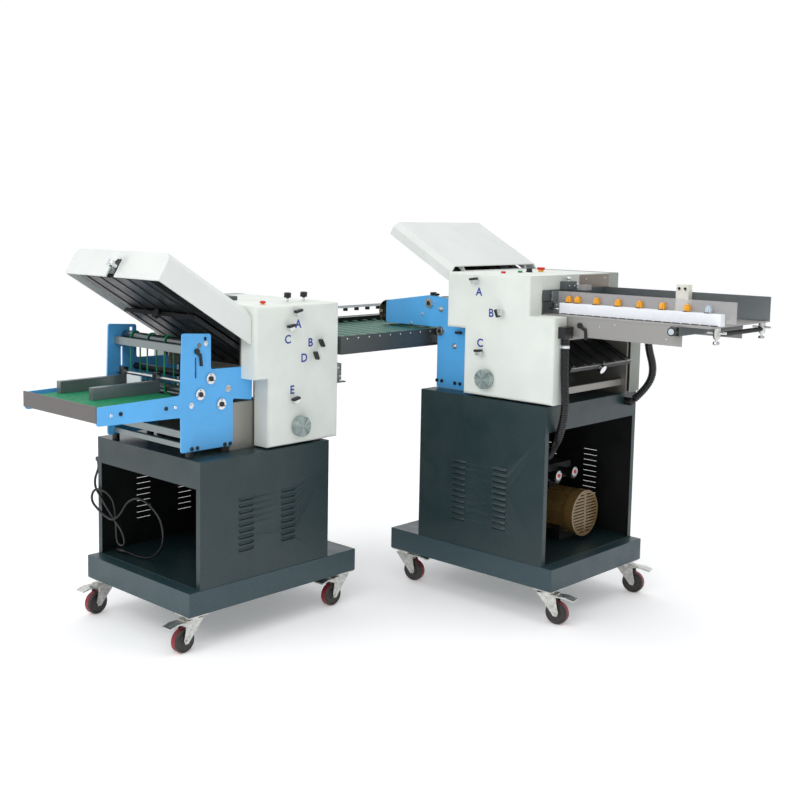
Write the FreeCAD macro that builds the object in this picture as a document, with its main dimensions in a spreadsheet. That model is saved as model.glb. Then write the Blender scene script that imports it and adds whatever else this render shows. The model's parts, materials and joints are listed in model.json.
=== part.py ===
import FreeCAD, Part
import math
import os
import Sketcher

# Cross-folding paper machine: two wheeled folding units at a right angle, joined by a roller table.
# Each unit has its own frame: U against the paper's flow (towards the infeed), V from the operator's
# side to the rear, Z up, origin on the floor below the plinth's operator-side infeed corner.

Vector = FreeCAD.Vector
Rotation = FreeCAD.Rotation
Placement = FreeCAD.Placement

DIMENSIONS = (
    # where the two units stand in the part's frame
    ("first_x", 322.5), ("first_y", 355.0), ("second_shift_x", 606.0), ("second_shift_y", 290.0),
    # plinth and casters
    ("caster_tall", 115.0), ("plinth_long", 706.0), ("plinth_wide", 552.0), ("plinth_tall", 75.0),
    ("plinth_sheet", 3.0), ("caster_inset", 40.0), ("caster_plate", 74.0), ("caster_plate_thick", 4.0),
    ("wheel_radius", 38.0), ("wheel_wide", 30.0), ("caster_trail", 36.0), ("axle_radius", 5.0),
    ("kingpin_radius", 6.0), ("running_fit", 0.05), ("moving_gap", 0.6), ("race_radius", 25.0),
    ("fork_sheet", 3.0), ("pedal_reach", 98.0), ("pedal_wide", 40.0),
    ("first_heading", 12.0), ("second_heading", -178.0),
    # cabinets
    ("cabinet_long", 534.0), ("cabinet_side", 2.0), ("cabinet_margin", 42.0), ("cabinet_sheet", 2.0),
    ("cabinet_strip", 20.0), ("cap_tall", 85.0), ("first_top", 718.0), ("second_top", 584.0),
    ("louvre_long", 56.0), ("louvre_slot", 5.0), ("louvre_pitch", 20.0), ("louvre_proud", 5.0),
    ("louvre_column", 175.0),
    # side covers and frames
    ("cover_face", 5.0), ("cover_deep", 72.0), ("cover_sheet", 2.0), ("cover_round", 12.0),
    ("cover_lift", 6.0), ("frame_thick", 8.0), ("blue_thick", 6.0), ("frame_inset", 6.0),
    ("first_cover_left", -470.0), ("first_cover_top", 1136.0), ("first_cover_step", 947.0),
    ("first_cover_low_left", -392.0), ("first_cover_shoulder", 1008.0), ("first_cover_back", -126.0),
    ("first_cover_right", -26.0),
    ("second_cover_left", -445.0), ("second_cover_top", 1039.0), ("second_cover_step", 810.0),
    ("second_cover_low_left", -390.0), ("second_cover_right", -86.0), ("second_frame_left", -486.0),
    ("second_frame_step", 735.0),
    # hoods
    ("hood_wide", 500.0), ("hood_sheet", 3.0), ("hood_gap", 2.0), ("hood_bevel", 18.0),
    ("hinge_pin", 3.0), ("ear_thick", 3.0),
    ("first_hood_slope", 29.0), ("first_hood_deep", 50.0), ("first_hood_reach", 291.0),
    ("first_hood_low", 1098.0),
    ("second_hood_slope", 31.2), ("second_hood_deep", 90.0), ("second_hood_reach", 348.0),
    ("second_hood_low", 919.0),
    # fold rollers, handwheels and gears
    ("roller_radius", 21.7), ("roller_pitch", 44.0), ("shaft_radius", 8.0), ("gear_wide", 12.0),
    ("gear_teeth", 24.0), ("handwheel_radius", 33.0), ("handwheel_thick", 20.0),
    ("first_wheel_u", -291.0), ("first_wheel_z", 784.0), ("second_wheel_u", -263.0),
    ("second_wheel_z", 647.0),
    # fold plates
    ("pocket_thick", 14.0), ("rib_tall", 2.5), ("disc_radius", 15.0), ("plate_step", 24.0),
    ("first_plate_u", -330.0), ("first_plate_z", 1025.0), ("first_plate_long", 474.0),
    ("first_lower_u", -240.0), ("first_lower_z", 960.0), ("lower_slope", 28.0), ("lower_long", 258.0),
    ("second_plate_u", -330.0), ("second_plate_z", 852.0), ("second_plate_long", 526.0),
    ("second_middle_long", 339.0), ("second_lower_u", -240.0), ("second_lower_z", 877.0),
    ("second_lower_long", 249.0),
    # top panels and controls
    ("first_panel_drop", 56.0), ("second_panel_drop", 90.0), ("control_u", -300.0), ("stop_v", 95.0),
    ("start_v", 190.0), ("speed_v", 243.0), ("emergency_v", 312.0), ("button_radius", 8.0),
    ("speed_radius", 11.0), ("collar_radius", 9.0), ("mushroom_radius", 14.0),
    # gap knobs on the operator's covers
    ("knob_1a_u", -340.0), ("knob_1a_z", 1109.0), ("knob_1b_u", -230.0), ("knob_1b_z", 1013.0),
    ("knob_1c_u", -313.0), ("knob_1c_z", 870.0), ("knob_2a_u", -285.0), ("knob_2a_z", 1012.0),
    ("knob_2b_u", -175.0), ("knob_2b_z", 916.0), ("knob_2c_u", -314.0), ("knob_2c_z", 966.0),
    ("knob_2d_u", -198.0), ("knob_2d_z", 876.0), ("knob_2e_u", -292.0), ("knob_2e_z", 732.0),
    ("star_1_u", -222.0), ("star_2_u", -150.0), ("star_v", 110.0),
    # feeder
    ("board_top", 1012.0), ("board_thick", 5.0), ("board_start", -120.0), ("board_long", 590.0),
    ("side_plate_start", -60.0), ("side_plate_low", 947.0), ("side_plate_thick", 4.0),
    ("end_bar_u", 352.0), ("end_bar_v", 60.0), ("end_bar_wide", 28.0), ("end_bar_tall", 27.0),
    ("end_knob", 13.0), ("post_u", 455.0), ("post_v", 150.0), ("post_tall", 37.0),
    ("rear_port_u", 15.0), ("rear_port_z", 925.0), ("slide_gap", 0.4),
    ("guide_start", -79.0), ("guide_long", 559.0), ("guide_v", 122.0), ("guide_wide", 28.0),
    ("guide_tall", 36.0), ("ball_count", 8.0), ("ball_pitch", 71.0),
    ("far_start", -118.0), ("far_long", 596.0), ("far_inset", 102.0), ("far_tall", 76.0),
    ("weight_u", 164.0), ("lever_pin", 4.0), ("feed_lever_u", 24.0), ("feed_lever_z", 984.0),
    # air hoses, pump and mains cord
    ("hose_radius", 12.0), ("rear_tail_u", -20.0), ("front_port_u", -26.0), ("front_port_v", 53.0), ("front_port_z", 941.0),
    ("pump_u", -120.0), ("pump_v", 370.0), ("pump_z", 292.0), ("pump_radius", 82.0),
    ("motor_long", 150.0), ("grille_rows", 13.0), ("valve_1_v", 244.0), ("valve_2_v", 342.0),
    ("cord_radius", 4.0),
    # delivery frames
    ("bearing_radius", 17.0), ("bearing_thick", 8.0), ("first_top_left", -570.0),
    ("first_arm_low", 933.0), ("first_arm_high", 1014.0), ("first_arm_nose", -822.0),
    ("first_blue_right", -380.0), ("first_blue_low", 719.0), ("nose_radius", 42.0), ("nose_z", 973.0),
    ("second_blue_right", -400.0), ("second_blue_low", 602.0), ("second_top_left", -677.0),
    ("second_arm_end", -971.0), ("foot_radius", 12.0),
    ("belt_u", -610.0), ("belt_high_z", 925.0), ("belt_low_z", 776.0), ("belt_roller_radius", 15.0),
    ("belt_gap", 0.3), ("belt_round", 5.0), ("belt_pitch", 90.0),
    ("conveyor_top", 765.0), ("conveyor_round", 10.0), ("conveyor_left", -955.0),
    ("conveyor_right", -640.0), ("conveyor_side", 17.0),
    ("tray_rod_u", -640.0), ("tray_rod_z", 812.0), ("tray_rod_radius", 6.0),
    ("tray_near_v", 235.0), ("tray_far_room", 32.0), ("tray_guide_wide", 22.0), ("frame_lever_u", -620.0), ("frame_lever_z", 908.0),
    # transfer table, in the first unit's frame
    ("table_overlap", 2.0), ("table_start_y", -372.0), ("table_rear_inset", 52.0),
    ("table_low", 864.0), ("table_tall", 61.0), ("table_top", 925.0),
    ("table_sheet", 3.0), ("table_roller_radius", 24.0), ("table_axle", 6.0), ("table_skew", 8.0),
    ("table_pitch", 52.5), ("table_edge", 66.0), ("table_count", 15.0),
    ("ball_guide_x", -1022.0), ("ball_guide_y", -345.0), ("ball_guide_long", 600.0),
    ("table_balls", 10.0), ("table_ball_pitch", 60.0), ("table_ball_radius", 12.5),
)


class Size:
    """A length that knows its value and the spreadsheet expression it comes from."""

    def __init__(self, value, text):
        self.value = float(value)
        self.text = text

    def __add__(self, other):
        other = as_size(other)
        return Size(self.value + other.value, f"({self.text} + {other.text})")

    def __sub__(self, other):
        other = as_size(other)
        return Size(self.value - other.value, f"({self.text} - {other.text})")

    def __mul__(self, other):
        other = as_size(other)
        return Size(self.value * other.value, f"({self.text} * {other.text})")

    def __truediv__(self, other):
        other = as_size(other)
        return Size(self.value / other.value, f"({self.text} / {other.text})")

    def __neg__(self):
        return Size(-self.value, f"(-1 * {self.text})")

    def __radd__(self, other):
        return as_size(other) + self

    def __rsub__(self, other):
        return as_size(other) - self

    def __rmul__(self, other):
        return as_size(other) * self

    def __rtruediv__(self, other):
        return as_size(other) / self


def as_size(value):
    if isinstance(value, Size):
        return value
    return Size(value, f"({float(value):.6f})")


def sine(angle):
    return Size(math.sin(math.radians(angle.value)), f"sin({angle.text})")


def cosine(angle):
    return Size(math.cos(math.radians(angle.value)), f"cos({angle.text})")


def tangent(angle):
    return sine(angle) / cosine(angle)


class Dimensions:
    """The spreadsheet's cells by name."""

    def __init__(self, document):
        sheet = document.addObject("Spreadsheet::Sheet", "dims")
        for row, (alias, value) in enumerate(DIMENSIONS, start=1):
            sheet.set(f"A{row}", alias)
            sheet.set(f"B{row}", str(value))
            sheet.setAlias(f"B{row}", alias)
        document.recompute()
        for alias, value in DIMENSIONS:
            setattr(self, alias, Size(sheet.get(alias), f"dims.{alias}"))


doc = FreeCAD.newDocument("paper_folder")
d = Dimensions(doc)
doc.recompute()
nodes = []


# ---------------------------------------------------------------- building blocks

def bind(item, prop, value):
    item.setExpression(prop, as_size(value).text)


def place(item, at):
    for letter, value in zip("xyz", at):
        bind(item, f"Placement.Base.{letter}", value)


def box(name, low, size):
    item = doc.addObject("Part::Box", name)
    for prop, value in zip(("Length", "Width", "Height"), size):
        bind(item, prop, value)
    place(item, low)
    return item


TURNS = {
    "x": Rotation(Vector(0, 1, 0), 90),
    "y": Rotation(Vector(1, 0, 0), -90),
    "z": Rotation(),
}


def rod(name, radius, start, length, axis):
    item = doc.addObject("Part::Cylinder", name)
    bind(item, "Radius", radius)
    bind(item, "Height", length)
    item.Placement = Placement(Vector(), TURNS[axis])
    place(item, start)
    return item


def fuse(name, items):
    item = doc.addObject("Part::MultiFuse", name)
    item.Shapes = items
    return item


def cut(name, base, tools):
    item = doc.addObject("Part::Cut", name)
    item.Base = base
    item.Tool = tools[0] if len(tools) == 1 else group(name + "_tools", tools)
    return item


def group(name, items):
    item = doc.addObject("Part::Compound", name)
    item.Links = items
    return item


def origin_plane(body, role):
    return next(item for item in body.Origin.OriginFeatures if item.Role == role)


def outline_sketch(body, role, points):
    """A closed sketch whose every corner is held to the sheet."""
    sketch = body.newObject("Sketcher::SketchObject", body.Name + "_outline")
    sketch.AttachmentSupport = [(origin_plane(body, role), "")]
    sketch.MapMode = "FlatFace"
    corners = [(as_size(across), as_size(up)) for across, up in points]
    count = len(corners)
    for index in range(count):
        here = corners[index]
        there = corners[(index + 1) % count]
        line = Part.LineSegment(
            Vector(here[0].value, here[1].value, 0), Vector(there[0].value, there[1].value, 0))
        sketch.addGeometry(line, False)
    for index in range(count):
        sketch.addConstraint(Sketcher.Constraint("Coincident", index, 2, (index + 1) % count, 1))
    for index, corner in enumerate(corners):
        for kind, value in zip(("DistanceX", "DistanceY"), corner):
            held = sketch.addConstraint(Sketcher.Constraint(kind, -1, 1, index, 1, value.value))
            sketch.setExpression(f"Constraints[{held}]", value.text)
    return sketch


def prism(name, role, points, start, depth):
    """A padded outline. XZ outlines grow towards +Y, XY ones towards +Z and YZ ones towards +X."""
    body = doc.addObject("PartDesign::Body", name)
    sketch = outline_sketch(body, role, points)
    pad = body.newObject("PartDesign::Pad", name + "_pad")
    pad.Profile = sketch
    bind(pad, "Length", depth)
    pad.Reversed = role == "XZ_Plane"
    letter = {"XZ_Plane": "y", "XY_Plane": "z", "YZ_Plane": "x"}[role]
    bind(body, f"Placement.Base.{letter}", start)
    body.Tip = pad
    return body


def revolved(name, points):
    """A half profile (radius, height along Z) turned about Z."""
    body = doc.addObject("PartDesign::Body", name)
    sketch = outline_sketch(body, "XZ_Plane", points)
    turn = body.newObject("PartDesign::Revolution", name + "_turn")
    turn.Profile = sketch
    turn.ReferenceAxis = (sketch, ["V_Axis"])
    turn.Angle = 360
    body.Tip = turn
    return body


def dress(body, kind, prop, value, chosen):
    """Fillet or chamfer the edges of the body's tip that the chooser takes."""
    doc.recompute()
    tip = body.Tip
    names = [f"Edge{index + 1}" for index, edge in enumerate(tip.Shape.Edges) if chosen(edge)]
    feature = body.newObject(f"PartDesign::{kind}", f"{body.Name}_{kind.lower()}")
    feature.Base = (tip, names)
    bind(feature, prop, value)
    body.Tip = feature


def flat_at(letter, value, slack=0.01):
    """Chooses edges that lie wholly in one plane."""
    def chosen(edge):
        return all(abs(getattr(vertex.Point, letter) - value) < slack for vertex in edge.Vertexes)
    return chosen


def node(label, item, unit):
    """Name a sub-part and stand it in its unit's place."""
    for other in doc.getObjectsByLabel(label):
        other.Label = label + "_form"
    item.Label = label
    if unit == 2:
        item.Placement = Placement(Vector(), Rotation(Vector(0, 0, 1), 90))
        place(item, (d.first_x - d.second_shift_x, d.first_y - d.second_shift_y, 0))
    else:
        place(item, (d.first_x, d.first_y, 0))
    nodes.append(item)
    return item


# ---------------------------------------------------------------- casters and plinths

def caster_places():
    near = d.caster_inset
    rear = d.plinth_wide - d.caster_inset
    infeed = -d.caster_inset
    outfeed = d.caster_inset - d.plinth_long
    return ((infeed, near), (infeed, rear), (outfeed, near), (outfeed, rear))


def caster_plates():
    """Bolt-on top plates of all casters, each with the upper half of its ball race."""
    plates = []
    for unit in (1, 2):
        one_unit = []
        for index, (u, v) in enumerate(caster_places(), start=1):
            name = f"caster_plate_{unit}{index}"
            half = d.caster_plate / 2
            low = d.caster_tall - d.caster_plate_thick
            flat = box(name + "_flat", (u - half, v - half, low),
                       (d.caster_plate, d.caster_plate, d.caster_plate_thick))
            race = rod(name + "_race", d.race_radius, (u, v, low - 5), 5, "z")
            hole = rod(name + "_bore", d.kingpin_radius + d.running_fit, (u, v, low - 6), 12, "z")
            one_unit.append(cut(name, fuse(name + "_body", [flat, race]), [hole]))
        stand = group(f"caster_plates_{unit}", one_unit)
        if unit == 2:
            stand.Placement = Placement(Vector(), Rotation(Vector(0, 0, 1), 90))
            place(stand, (-d.second_shift_x, -d.second_shift_y, 0))
        plates.append(stand)
    return group("caster_plates", plates)


def caster_fork(name):
    """Swivel fork with crown, kingpin, axle and brake pedal, about its own swivel axis."""
    crown_top = d.caster_tall - d.caster_plate_thick - 5 - d.moving_gap
    bridge_top = crown_top - 5
    crown = rod(name + "_crown", d.race_radius - 1, (0, 0, bridge_top), 5, "z")
    pin = rod(name + "_pin", d.kingpin_radius, (0, 0, bridge_top), crown_top - bridge_top + 8, "z")
    inside = d.wheel_wide / 2 + 3
    top = box(name + "_top", (-31, -(inside + d.fork_sheet), bridge_top - d.fork_sheet),
              (68, (inside + d.fork_sheet) * 2, d.fork_sheet))
    side = ((-31, bridge_top), (37, bridge_top), (37, bridge_top - 14),
            (d.caster_trail + 11, d.wheel_radius + 4), (d.caster_trail + 6, d.wheel_radius - 8),
            (d.caster_trail - 6, d.wheel_radius - 8), (d.caster_trail - 14, d.wheel_radius + 2))
    legs = [prism(f"{name}_leg_{index}", "XZ_Plane", side, start, d.fork_sheet)
            for index, start in enumerate((-(inside + d.fork_sheet), inside), start=1)]
    axle = rod(name + "_axle", d.axle_radius, (d.caster_trail, -(inside + 7), d.wheel_radius),
               (inside + 7) * 2, "y")
    pedal_points = ((34, bridge_top - 7), (34, bridge_top - 3), (70, bridge_top - 2),
                    (d.pedal_reach, bridge_top - 9), (d.pedal_reach, bridge_top - 13),
                    (66, bridge_top - 7))
    pedal = prism(name + "_pedal", "XZ_Plane", pedal_points, -d.pedal_wide / 2, d.pedal_wide)
    return fuse(name, [crown, pin, top, axle, pedal] + legs)


def caster_wheel(name):
    """Tyre and core in one, on a plain bore."""
    bore = d.axle_radius + d.running_fit
    half = d.wheel_wide / 2
    profile = ((bore, -half), (15, -half), (17, 4 - half), (d.wheel_radius - 9, 4 - half),
               (d.wheel_radius - 5, -half), (d.wheel_radius, 6 - half), (d.wheel_radius, half - 6),
               (d.wheel_radius - 5, half), (d.wheel_radius - 9, half - 4), (17, half - 4),
               (15, half), (bore, half))
    wheel = revolved(name, profile)
    wheel.Placement = Placement(Vector(), Rotation(Vector(1, 0, 0), 90))
    place(wheel, (d.caster_trail, 0, d.wheel_radius))
    return group(name + "_stand", [wheel])


def stand_caster(item, unit, u, v, heading):
    """Turn a caster piece to its heading and set it under its corner."""
    turned = group(item.Name + "_turned", [item])
    angle = heading.value
    turned.Placement = Placement(Vector(), Rotation(Vector(0, 0, 1), angle))
    place(turned, (u, v, 0))
    return group(item.Name + "_placed", [turned])


def plinth(unit):
    """Folded sheet tray, open below, with stiffening channels under its short ends."""
    name = f"plinth_{unit}"
    low = (-d.plinth_long, 0, d.caster_tall)
    outer = box(name + "_outer", low, (d.plinth_long, d.plinth_wide, d.plinth_tall))
    wall = d.plinth_sheet
    pad = d.caster_plate + 8
    hollow = box(name + "_hollow", (wall - d.plinth_long, pad, d.caster_tall - 1),
                 (d.plinth_long - wall * 2, d.plinth_wide - pad * 2, d.plinth_tall - wall + 1))
    middle = box(name + "_middle", (pad - d.plinth_long, wall, d.caster_tall - 1),
                 (d.plinth_long - pad * 2, d.plinth_wide - wall * 2, d.plinth_tall - wall + 1))
    corners = []
    for index, (u, v) in enumerate(caster_places(), start=1):
        inner = d.caster_inset - wall
        corner = box(f"{name}_corner_{index}", (u - inner, v - inner, d.caster_tall + wall),
                     (inner * 2 + 12, inner * 2 + 12, d.plinth_tall - wall * 2))
        if index in (1, 2):
            bind(corner, "Placement.Base.x", u - inner - 12)
        if index in (2, 4):
            bind(corner, "Placement.Base.y", v - inner - 12)
        corners.append(corner)
    return cut(name, outer, [hollow, middle] + corners)


# ---------------------------------------------------------------- cabinets

def cabinet_wide():
    return d.plinth_wide - d.cabinet_side * 2


def cabinet_ends(unit):
    """The two U values of a cabinet's ends; its open face is at the infeed end of the first unit
    and at the delivery end of the second."""
    if unit == 1:
        right = -d.cabinet_margin
        return right - d.cabinet_long, right
    left = d.cabinet_margin - d.plinth_long
    return left, left + d.cabinet_long


def louvres(name, left, low, rows):
    """Slots with hooded lips in two columns on both long walls: what is cut and what is added."""
    slots = []
    lips = []
    inset = d.cabinet_side
    first_row = low + 90
    for side in (0, 1):
        wall = inset if side == 0 else inset + cabinet_wide() - d.cabinet_sheet
        for column in (0, 1):
            start = left + d.cabinet_long / 2 - d.louvre_column / 2 - d.louvre_long / 2
            start = start + d.louvre_column * column
            for row in range(rows):
                height = first_row + d.louvre_pitch * row
                tag = f"{name}_{side}{column}{row:02d}"
                slots.append(box(tag + "_slot", (start, wall - 1, height),
                                 (d.louvre_long, d.cabinet_sheet + 2, d.louvre_slot)))
                out = wall - d.louvre_proud if side == 0 else wall + d.cabinet_sheet
                face = wall if side == 0 else out
                tip = out if side == 0 else out + d.louvre_proud
                rise = d.louvre_slot + 7
                lip = ((face, height + d.louvre_slot - 1), (face, height + rise),
                       (tip, height + d.louvre_slot - 1))
                lips.append((tag, lip, start))
    return slots, lips


def wedge(name, outline, start, length):
    """A straight triangular bar along U, set from the sheet's values."""
    corners = [Vector(as_size(start).value, as_size(v).value, as_size(z).value) for v, z in outline]
    face = Part.Face(Part.makePolygon(corners + corners[:1]))
    item = doc.addObject("Part::Feature", name)
    item.Shape = face.extrude(Vector(as_size(length).value, 0, 0))
    return item


def cabinet(unit):
    """Five-sided sheet cabinet with an open end, louvred long walls and a deep cap on top."""
    name = f"cabinet_{unit}"
    left, right = cabinet_ends(unit)
    top = d.first_top if unit == 1 else d.second_top
    low = d.caster_tall + d.plinth_tall
    inset = d.cabinet_side
    wall = d.cabinet_sheet
    seam = top - d.cap_tall
    outer = box(name + "_outer", (left, inset, low), (d.cabinet_long, cabinet_wide(), seam - low))
    hollow = box(name + "_hollow", (left + wall, inset + wall, low + wall),
                 (d.cabinet_long - wall * 2, cabinet_wide() - wall * 2, seam - low))
    door_u = right - wall - 1 if unit == 1 else left - 1
    door = box(name + "_door", (door_u, inset + d.cabinet_strip, low + wall),
               (wall + 2, cabinet_wide() - d.cabinet_strip * 2, seam - low))
    slots, lips = louvres(name, left, low, 11 if unit == 1 else 9)
    shell = cut(name + "_shell", outer, [hollow, door] + slots)
    added = [wedge(tag + "_lip", lip, start - 2, d.louvre_long + 4) for tag, lip, start in lips]
    body = fuse(name + "_body", [shell] + added)
    cap_outer = box(name + "_cap_outer", (left, inset, seam), (d.cabinet_long, cabinet_wide(), d.cap_tall))
    cap_hollow = box(name + "_cap_hollow", (left + wall, inset + wall, seam - 1),
                     (d.cabinet_long - wall * 2, cabinet_wide() - wall * 2, d.cap_tall - wall * 2 + 1))
    cap = cut(name + "_cap", cap_outer, [cap_hollow])
    if unit == 2:
        return group(name, [body, cap])
    tail = rod(name + "_tail", d.hose_radius + 2, (right, 480, 690), d.rear_tail_u - right, "x")
    ball = doc.addObject("Part::Sphere", name + "_tail_elbow")
    bind(ball, "Radius", d.hose_radius + 2)
    place(ball, (d.rear_tail_u, 480, 690))
    elbow = fuse(name + "_tail_piece", [tail, ball])
    return group(name, [body, cap, elbow])


# ---------------------------------------------------------------- frames and covers

def cover_outline(unit, inset):
    """Side cover outline, drawn in by an inset all round."""
    if unit == 1:
        low = d.first_top + d.cover_lift
        return (
            (d.first_cover_low_left + inset, low + inset),
            (d.first_cover_low_left + inset, d.first_cover_step + inset),
            (d.first_cover_left + inset, d.first_cover_step + inset),
            (d.first_cover_left + inset, d.first_cover_top - inset),
            (d.first_cover_back - inset, d.first_cover_top - inset),
            (d.first_cover_back - inset, d.first_cover_shoulder - inset),
            (d.first_cover_right - inset, d.first_cover_shoulder - inset),
            (d.first_cover_right - inset, low + inset),
        )
    low = d.second_top + d.cover_lift
    return (
        (d.second_cover_low_left + inset, low + inset),
        (d.second_cover_low_left + inset, d.second_cover_step + inset),
        (d.second_cover_left + inset, d.second_cover_step + inset),
        (d.second_cover_left + inset, d.second_cover_top - inset),
        (d.second_cover_right - inset, d.second_cover_top - inset),
        (d.second_cover_right - inset, low + inset),
    )


def wheel_axis(unit):
    if unit == 1:
        return d.first_wheel_u, d.first_wheel_z
    return d.second_wheel_u, d.second_wheel_z


def side_cover(name, unit, rear):
    """Pressed cover, open towards the frame, with a rounded rim and a hole for the handwheel."""
    start = d.plinth_wide - d.cover_face - d.cover_deep if rear else d.cover_face
    face = start + d.cover_deep if rear else start
    outer = prism(name + "_outer", "XZ_Plane", cover_outline(unit, 0), start, d.cover_deep)
    in_start = start - 1 if rear else start + d.cover_sheet
    inner = prism(name + "_inner", "XZ_Plane", cover_outline(unit, d.cover_sheet), in_start,
                  d.cover_deep - d.cover_sheet + 1)
    local_face = d.cover_deep.value if rear else 0.0
    dress(outer, "Fillet", "Radius", d.cover_round, flat_at("y", local_face))
    local_inner = (d.cover_deep - d.cover_sheet + 1).value if rear else 0.0
    dress(inner, "Fillet", "Radius", d.cover_round - d.cover_sheet, flat_at("y", local_inner))
    tools = [inner]
    if not rear:
        u, z = wheel_axis(unit)
        tools.append(rod(name + "_hole", d.shaft_radius + 3, (u, face - 1, z), 12, "y"))
    return cut(name, outer, tools)


def frame_start(rear):
    near = d.cover_face + d.cover_deep + d.blue_thick
    if rear:
        return d.plinth_wide - near - d.frame_thick
    return near


def side_frames(unit):
    """The two side plates that carry the rollers, and the tie bars between them."""
    name = f"side_frames_{unit}"
    top = d.first_top if unit == 1 else d.second_top
    outline = list(cover_outline(unit, d.frame_inset))
    outline[0] = (outline[0][0], top)
    outline[-1] = (outline[-1][0], top)
    if unit == 2:
        outline[0:2] = [(d.second_frame_left, top), (d.second_frame_left, d.second_frame_step),
                        (outline[1][0], d.second_frame_step), outline[1]]
    plates = []
    for side, rear in (("near", False), ("rear", True)):
        plate = prism(f"{name}_{side}", "XZ_Plane", outline, frame_start(rear), d.frame_thick)
        bores = [rod(f"{name}_{side}_bore_{index}", d.shaft_radius + d.running_fit,
                     (u, frame_start(rear) - 1, z), d.frame_thick + 2, "y")
                 for index, (u, z) in enumerate(roller_axes(unit), start=1)]
        plates.append(cut(f"{name}_{side}_plate", plate, bores))
    between = frame_start(True) - frame_start(False) - d.frame_thick
    bars = []
    left, right = outline[0][0], outline[-1][0]
    upper = top + (210 if unit == 1 else 260)
    for index, (u, z) in enumerate(((right - 30, top + 30), (right - 24, upper),
                                    (left + 130, top + 24)), start=1):
        bars.append(box(f"{name}_bar_{index}", (u, frame_start(False) + d.frame_thick, z),
                        (12, between, 22)))
    return group(name, plates + bars)


def roller_axes(unit):
    u, z = wheel_axis(unit)
    return ((u, z), (u, z + d.roller_pitch), (u, z + d.roller_pitch * 2))


# ---------------------------------------------------------------- hoods and fold plates

def hood_values(unit):
    if unit == 1:
        return (d.first_cover_left, d.first_hood_slope, d.first_hood_deep, d.first_hood_reach,
                d.first_hood_low)
    return (d.second_cover_left, d.second_hood_slope, d.second_hood_deep, d.second_hood_reach,
            d.second_hood_low)


def hood_outline(unit, inset):
    """Side view of a hood: free end square to its slope, hinge end upright along the covers."""
    left, slope, deep, reach, low = hood_values(unit)
    right = left - d.hood_gap
    reach = reach - inset / cosine(slope)
    free_low = (right - reach, low + reach * tangent(slope))
    lean_u = (deep - inset) * sine(slope)
    lean_z = (deep - inset) * cosine(slope)
    free_high = (free_low[0] + lean_u, free_low[1] + lean_z)
    hinge_high = low + (deep - inset) / cosine(slope)
    return (free_low, free_high, (right, hinge_high), (right, low))


def hood(unit):
    """Sheet hood, open below and towards the covers, bevelled along its long top edges."""
    name = f"hood_{unit}"
    start = (d.plinth_wide - d.hood_wide) / 2
    outer = prism(name + "_outer", "XZ_Plane", hood_outline(unit, 0), start, d.hood_wide)
    left, slope, deep, reach, low = hood_values(unit)
    high = low + reach * tangent(slope) + deep * cosine(slope)
    middle_z = ((low + deep / cosine(slope) + high) / 2).value

    def long_top(edge):
        ends = [vertex.Point for vertex in edge.Vertexes]
        along = abs(ends[0].y - ends[1].y) < 0.01 and abs(ends[0].x - ends[1].x) > 100
        return along and (ends[0].z + ends[1].z) / 2 > middle_z - 1

    dress(outer, "Chamfer", "Size", d.hood_bevel, long_top)
    wall = d.hood_sheet
    free_low, free_high, hinge_high, hinge_low = hood_outline(unit, wall)
    past = 2
    drop = tangent(slope) * past
    inner_points = ((free_low[0], free_low[1] - past), free_high,
                    (hinge_high[0] + past, hinge_high[1] - drop),
                    (hinge_low[0] + past, hinge_low[1] - drop - past))
    inner = prism(name + "_inner", "XZ_Plane", inner_points, start + wall,
                  d.hood_wide - wall * 2)
    inner_high = middle_z - wall.value / cosine(slope).value

    def long_inner(edge):
        ends = [vertex.Point for vertex in edge.Vertexes]
        along = abs(ends[0].y - ends[1].y) < 0.01 and abs(ends[0].x - ends[1].x) > 100
        return along and (ends[0].z + ends[1].z) / 2 > inner_high - 4

    dress(inner, "Chamfer", "Size", d.hood_bevel, long_inner)
    tools = [inner]
    pin_u, pin_z = hinge_place(unit)
    if unit == 2:
        tools.append(rod(name + "_barrel_room", d.hinge_pin + 0.5, (pin_u, start - 1, pin_z),
                         d.hood_wide + 2, "y"))
        tools.append(box(name + "_notch", (left - d.hood_gap - reach - 6, d.plinth_wide / 2 - 22,
                                           low + reach * tangent(slope) - 10), (60, 44, 62)))
    shell = cut(name + "_shell", outer, tools)
    ears = []
    for index, v in enumerate(ear_places(), start=1):
        web = ((pin_u - 30, pin_z + (16 if unit == 1 else 6)), (pin_u - 2, pin_z + (16 if unit == 1 else 0)),
               (pin_u + 3, pin_z + 3), (pin_u + 2, pin_z - 5), (pin_u - 5, pin_z - 5))
        ear = fuse(f"{name}_ear_{index}", [
            prism(f"{name}_web_{index}", "XZ_Plane", web, v, d.ear_thick),
            rod(f"{name}_eye_{index}", d.hinge_pin + 2.5, (pin_u, v, pin_z), d.ear_thick, "y")])
        ears.append(ear)
    bores = [rod(f"{name}_pin_hole_{index}", d.hinge_pin + d.running_fit, (pin_u, v - 1, pin_z),
                 d.ear_thick + 2, "y") for index, v in enumerate(ear_places(), start=1)]
    return cut(name, fuse(name + "_body", [shell] + ears), bores)


def hinge_place(unit):
    """The hood's hinge line in the unit's frame: on the first unit level with its covers' tops,
    and on the second, whose covers are taller, along the hood's own top edge."""
    left, slope, deep, reach, low = hood_values(unit)
    if unit == 1:
        return left - d.hood_gap, d.first_cover_top
    return left - d.hood_gap, low + deep / cosine(slope)


def ear_places():
    """V starts of the hood's two hinge ears, just inside the side frames."""
    near = frame_start(False) + d.frame_thick + 4
    return near, d.plinth_wide - near - d.ear_thick


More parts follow.
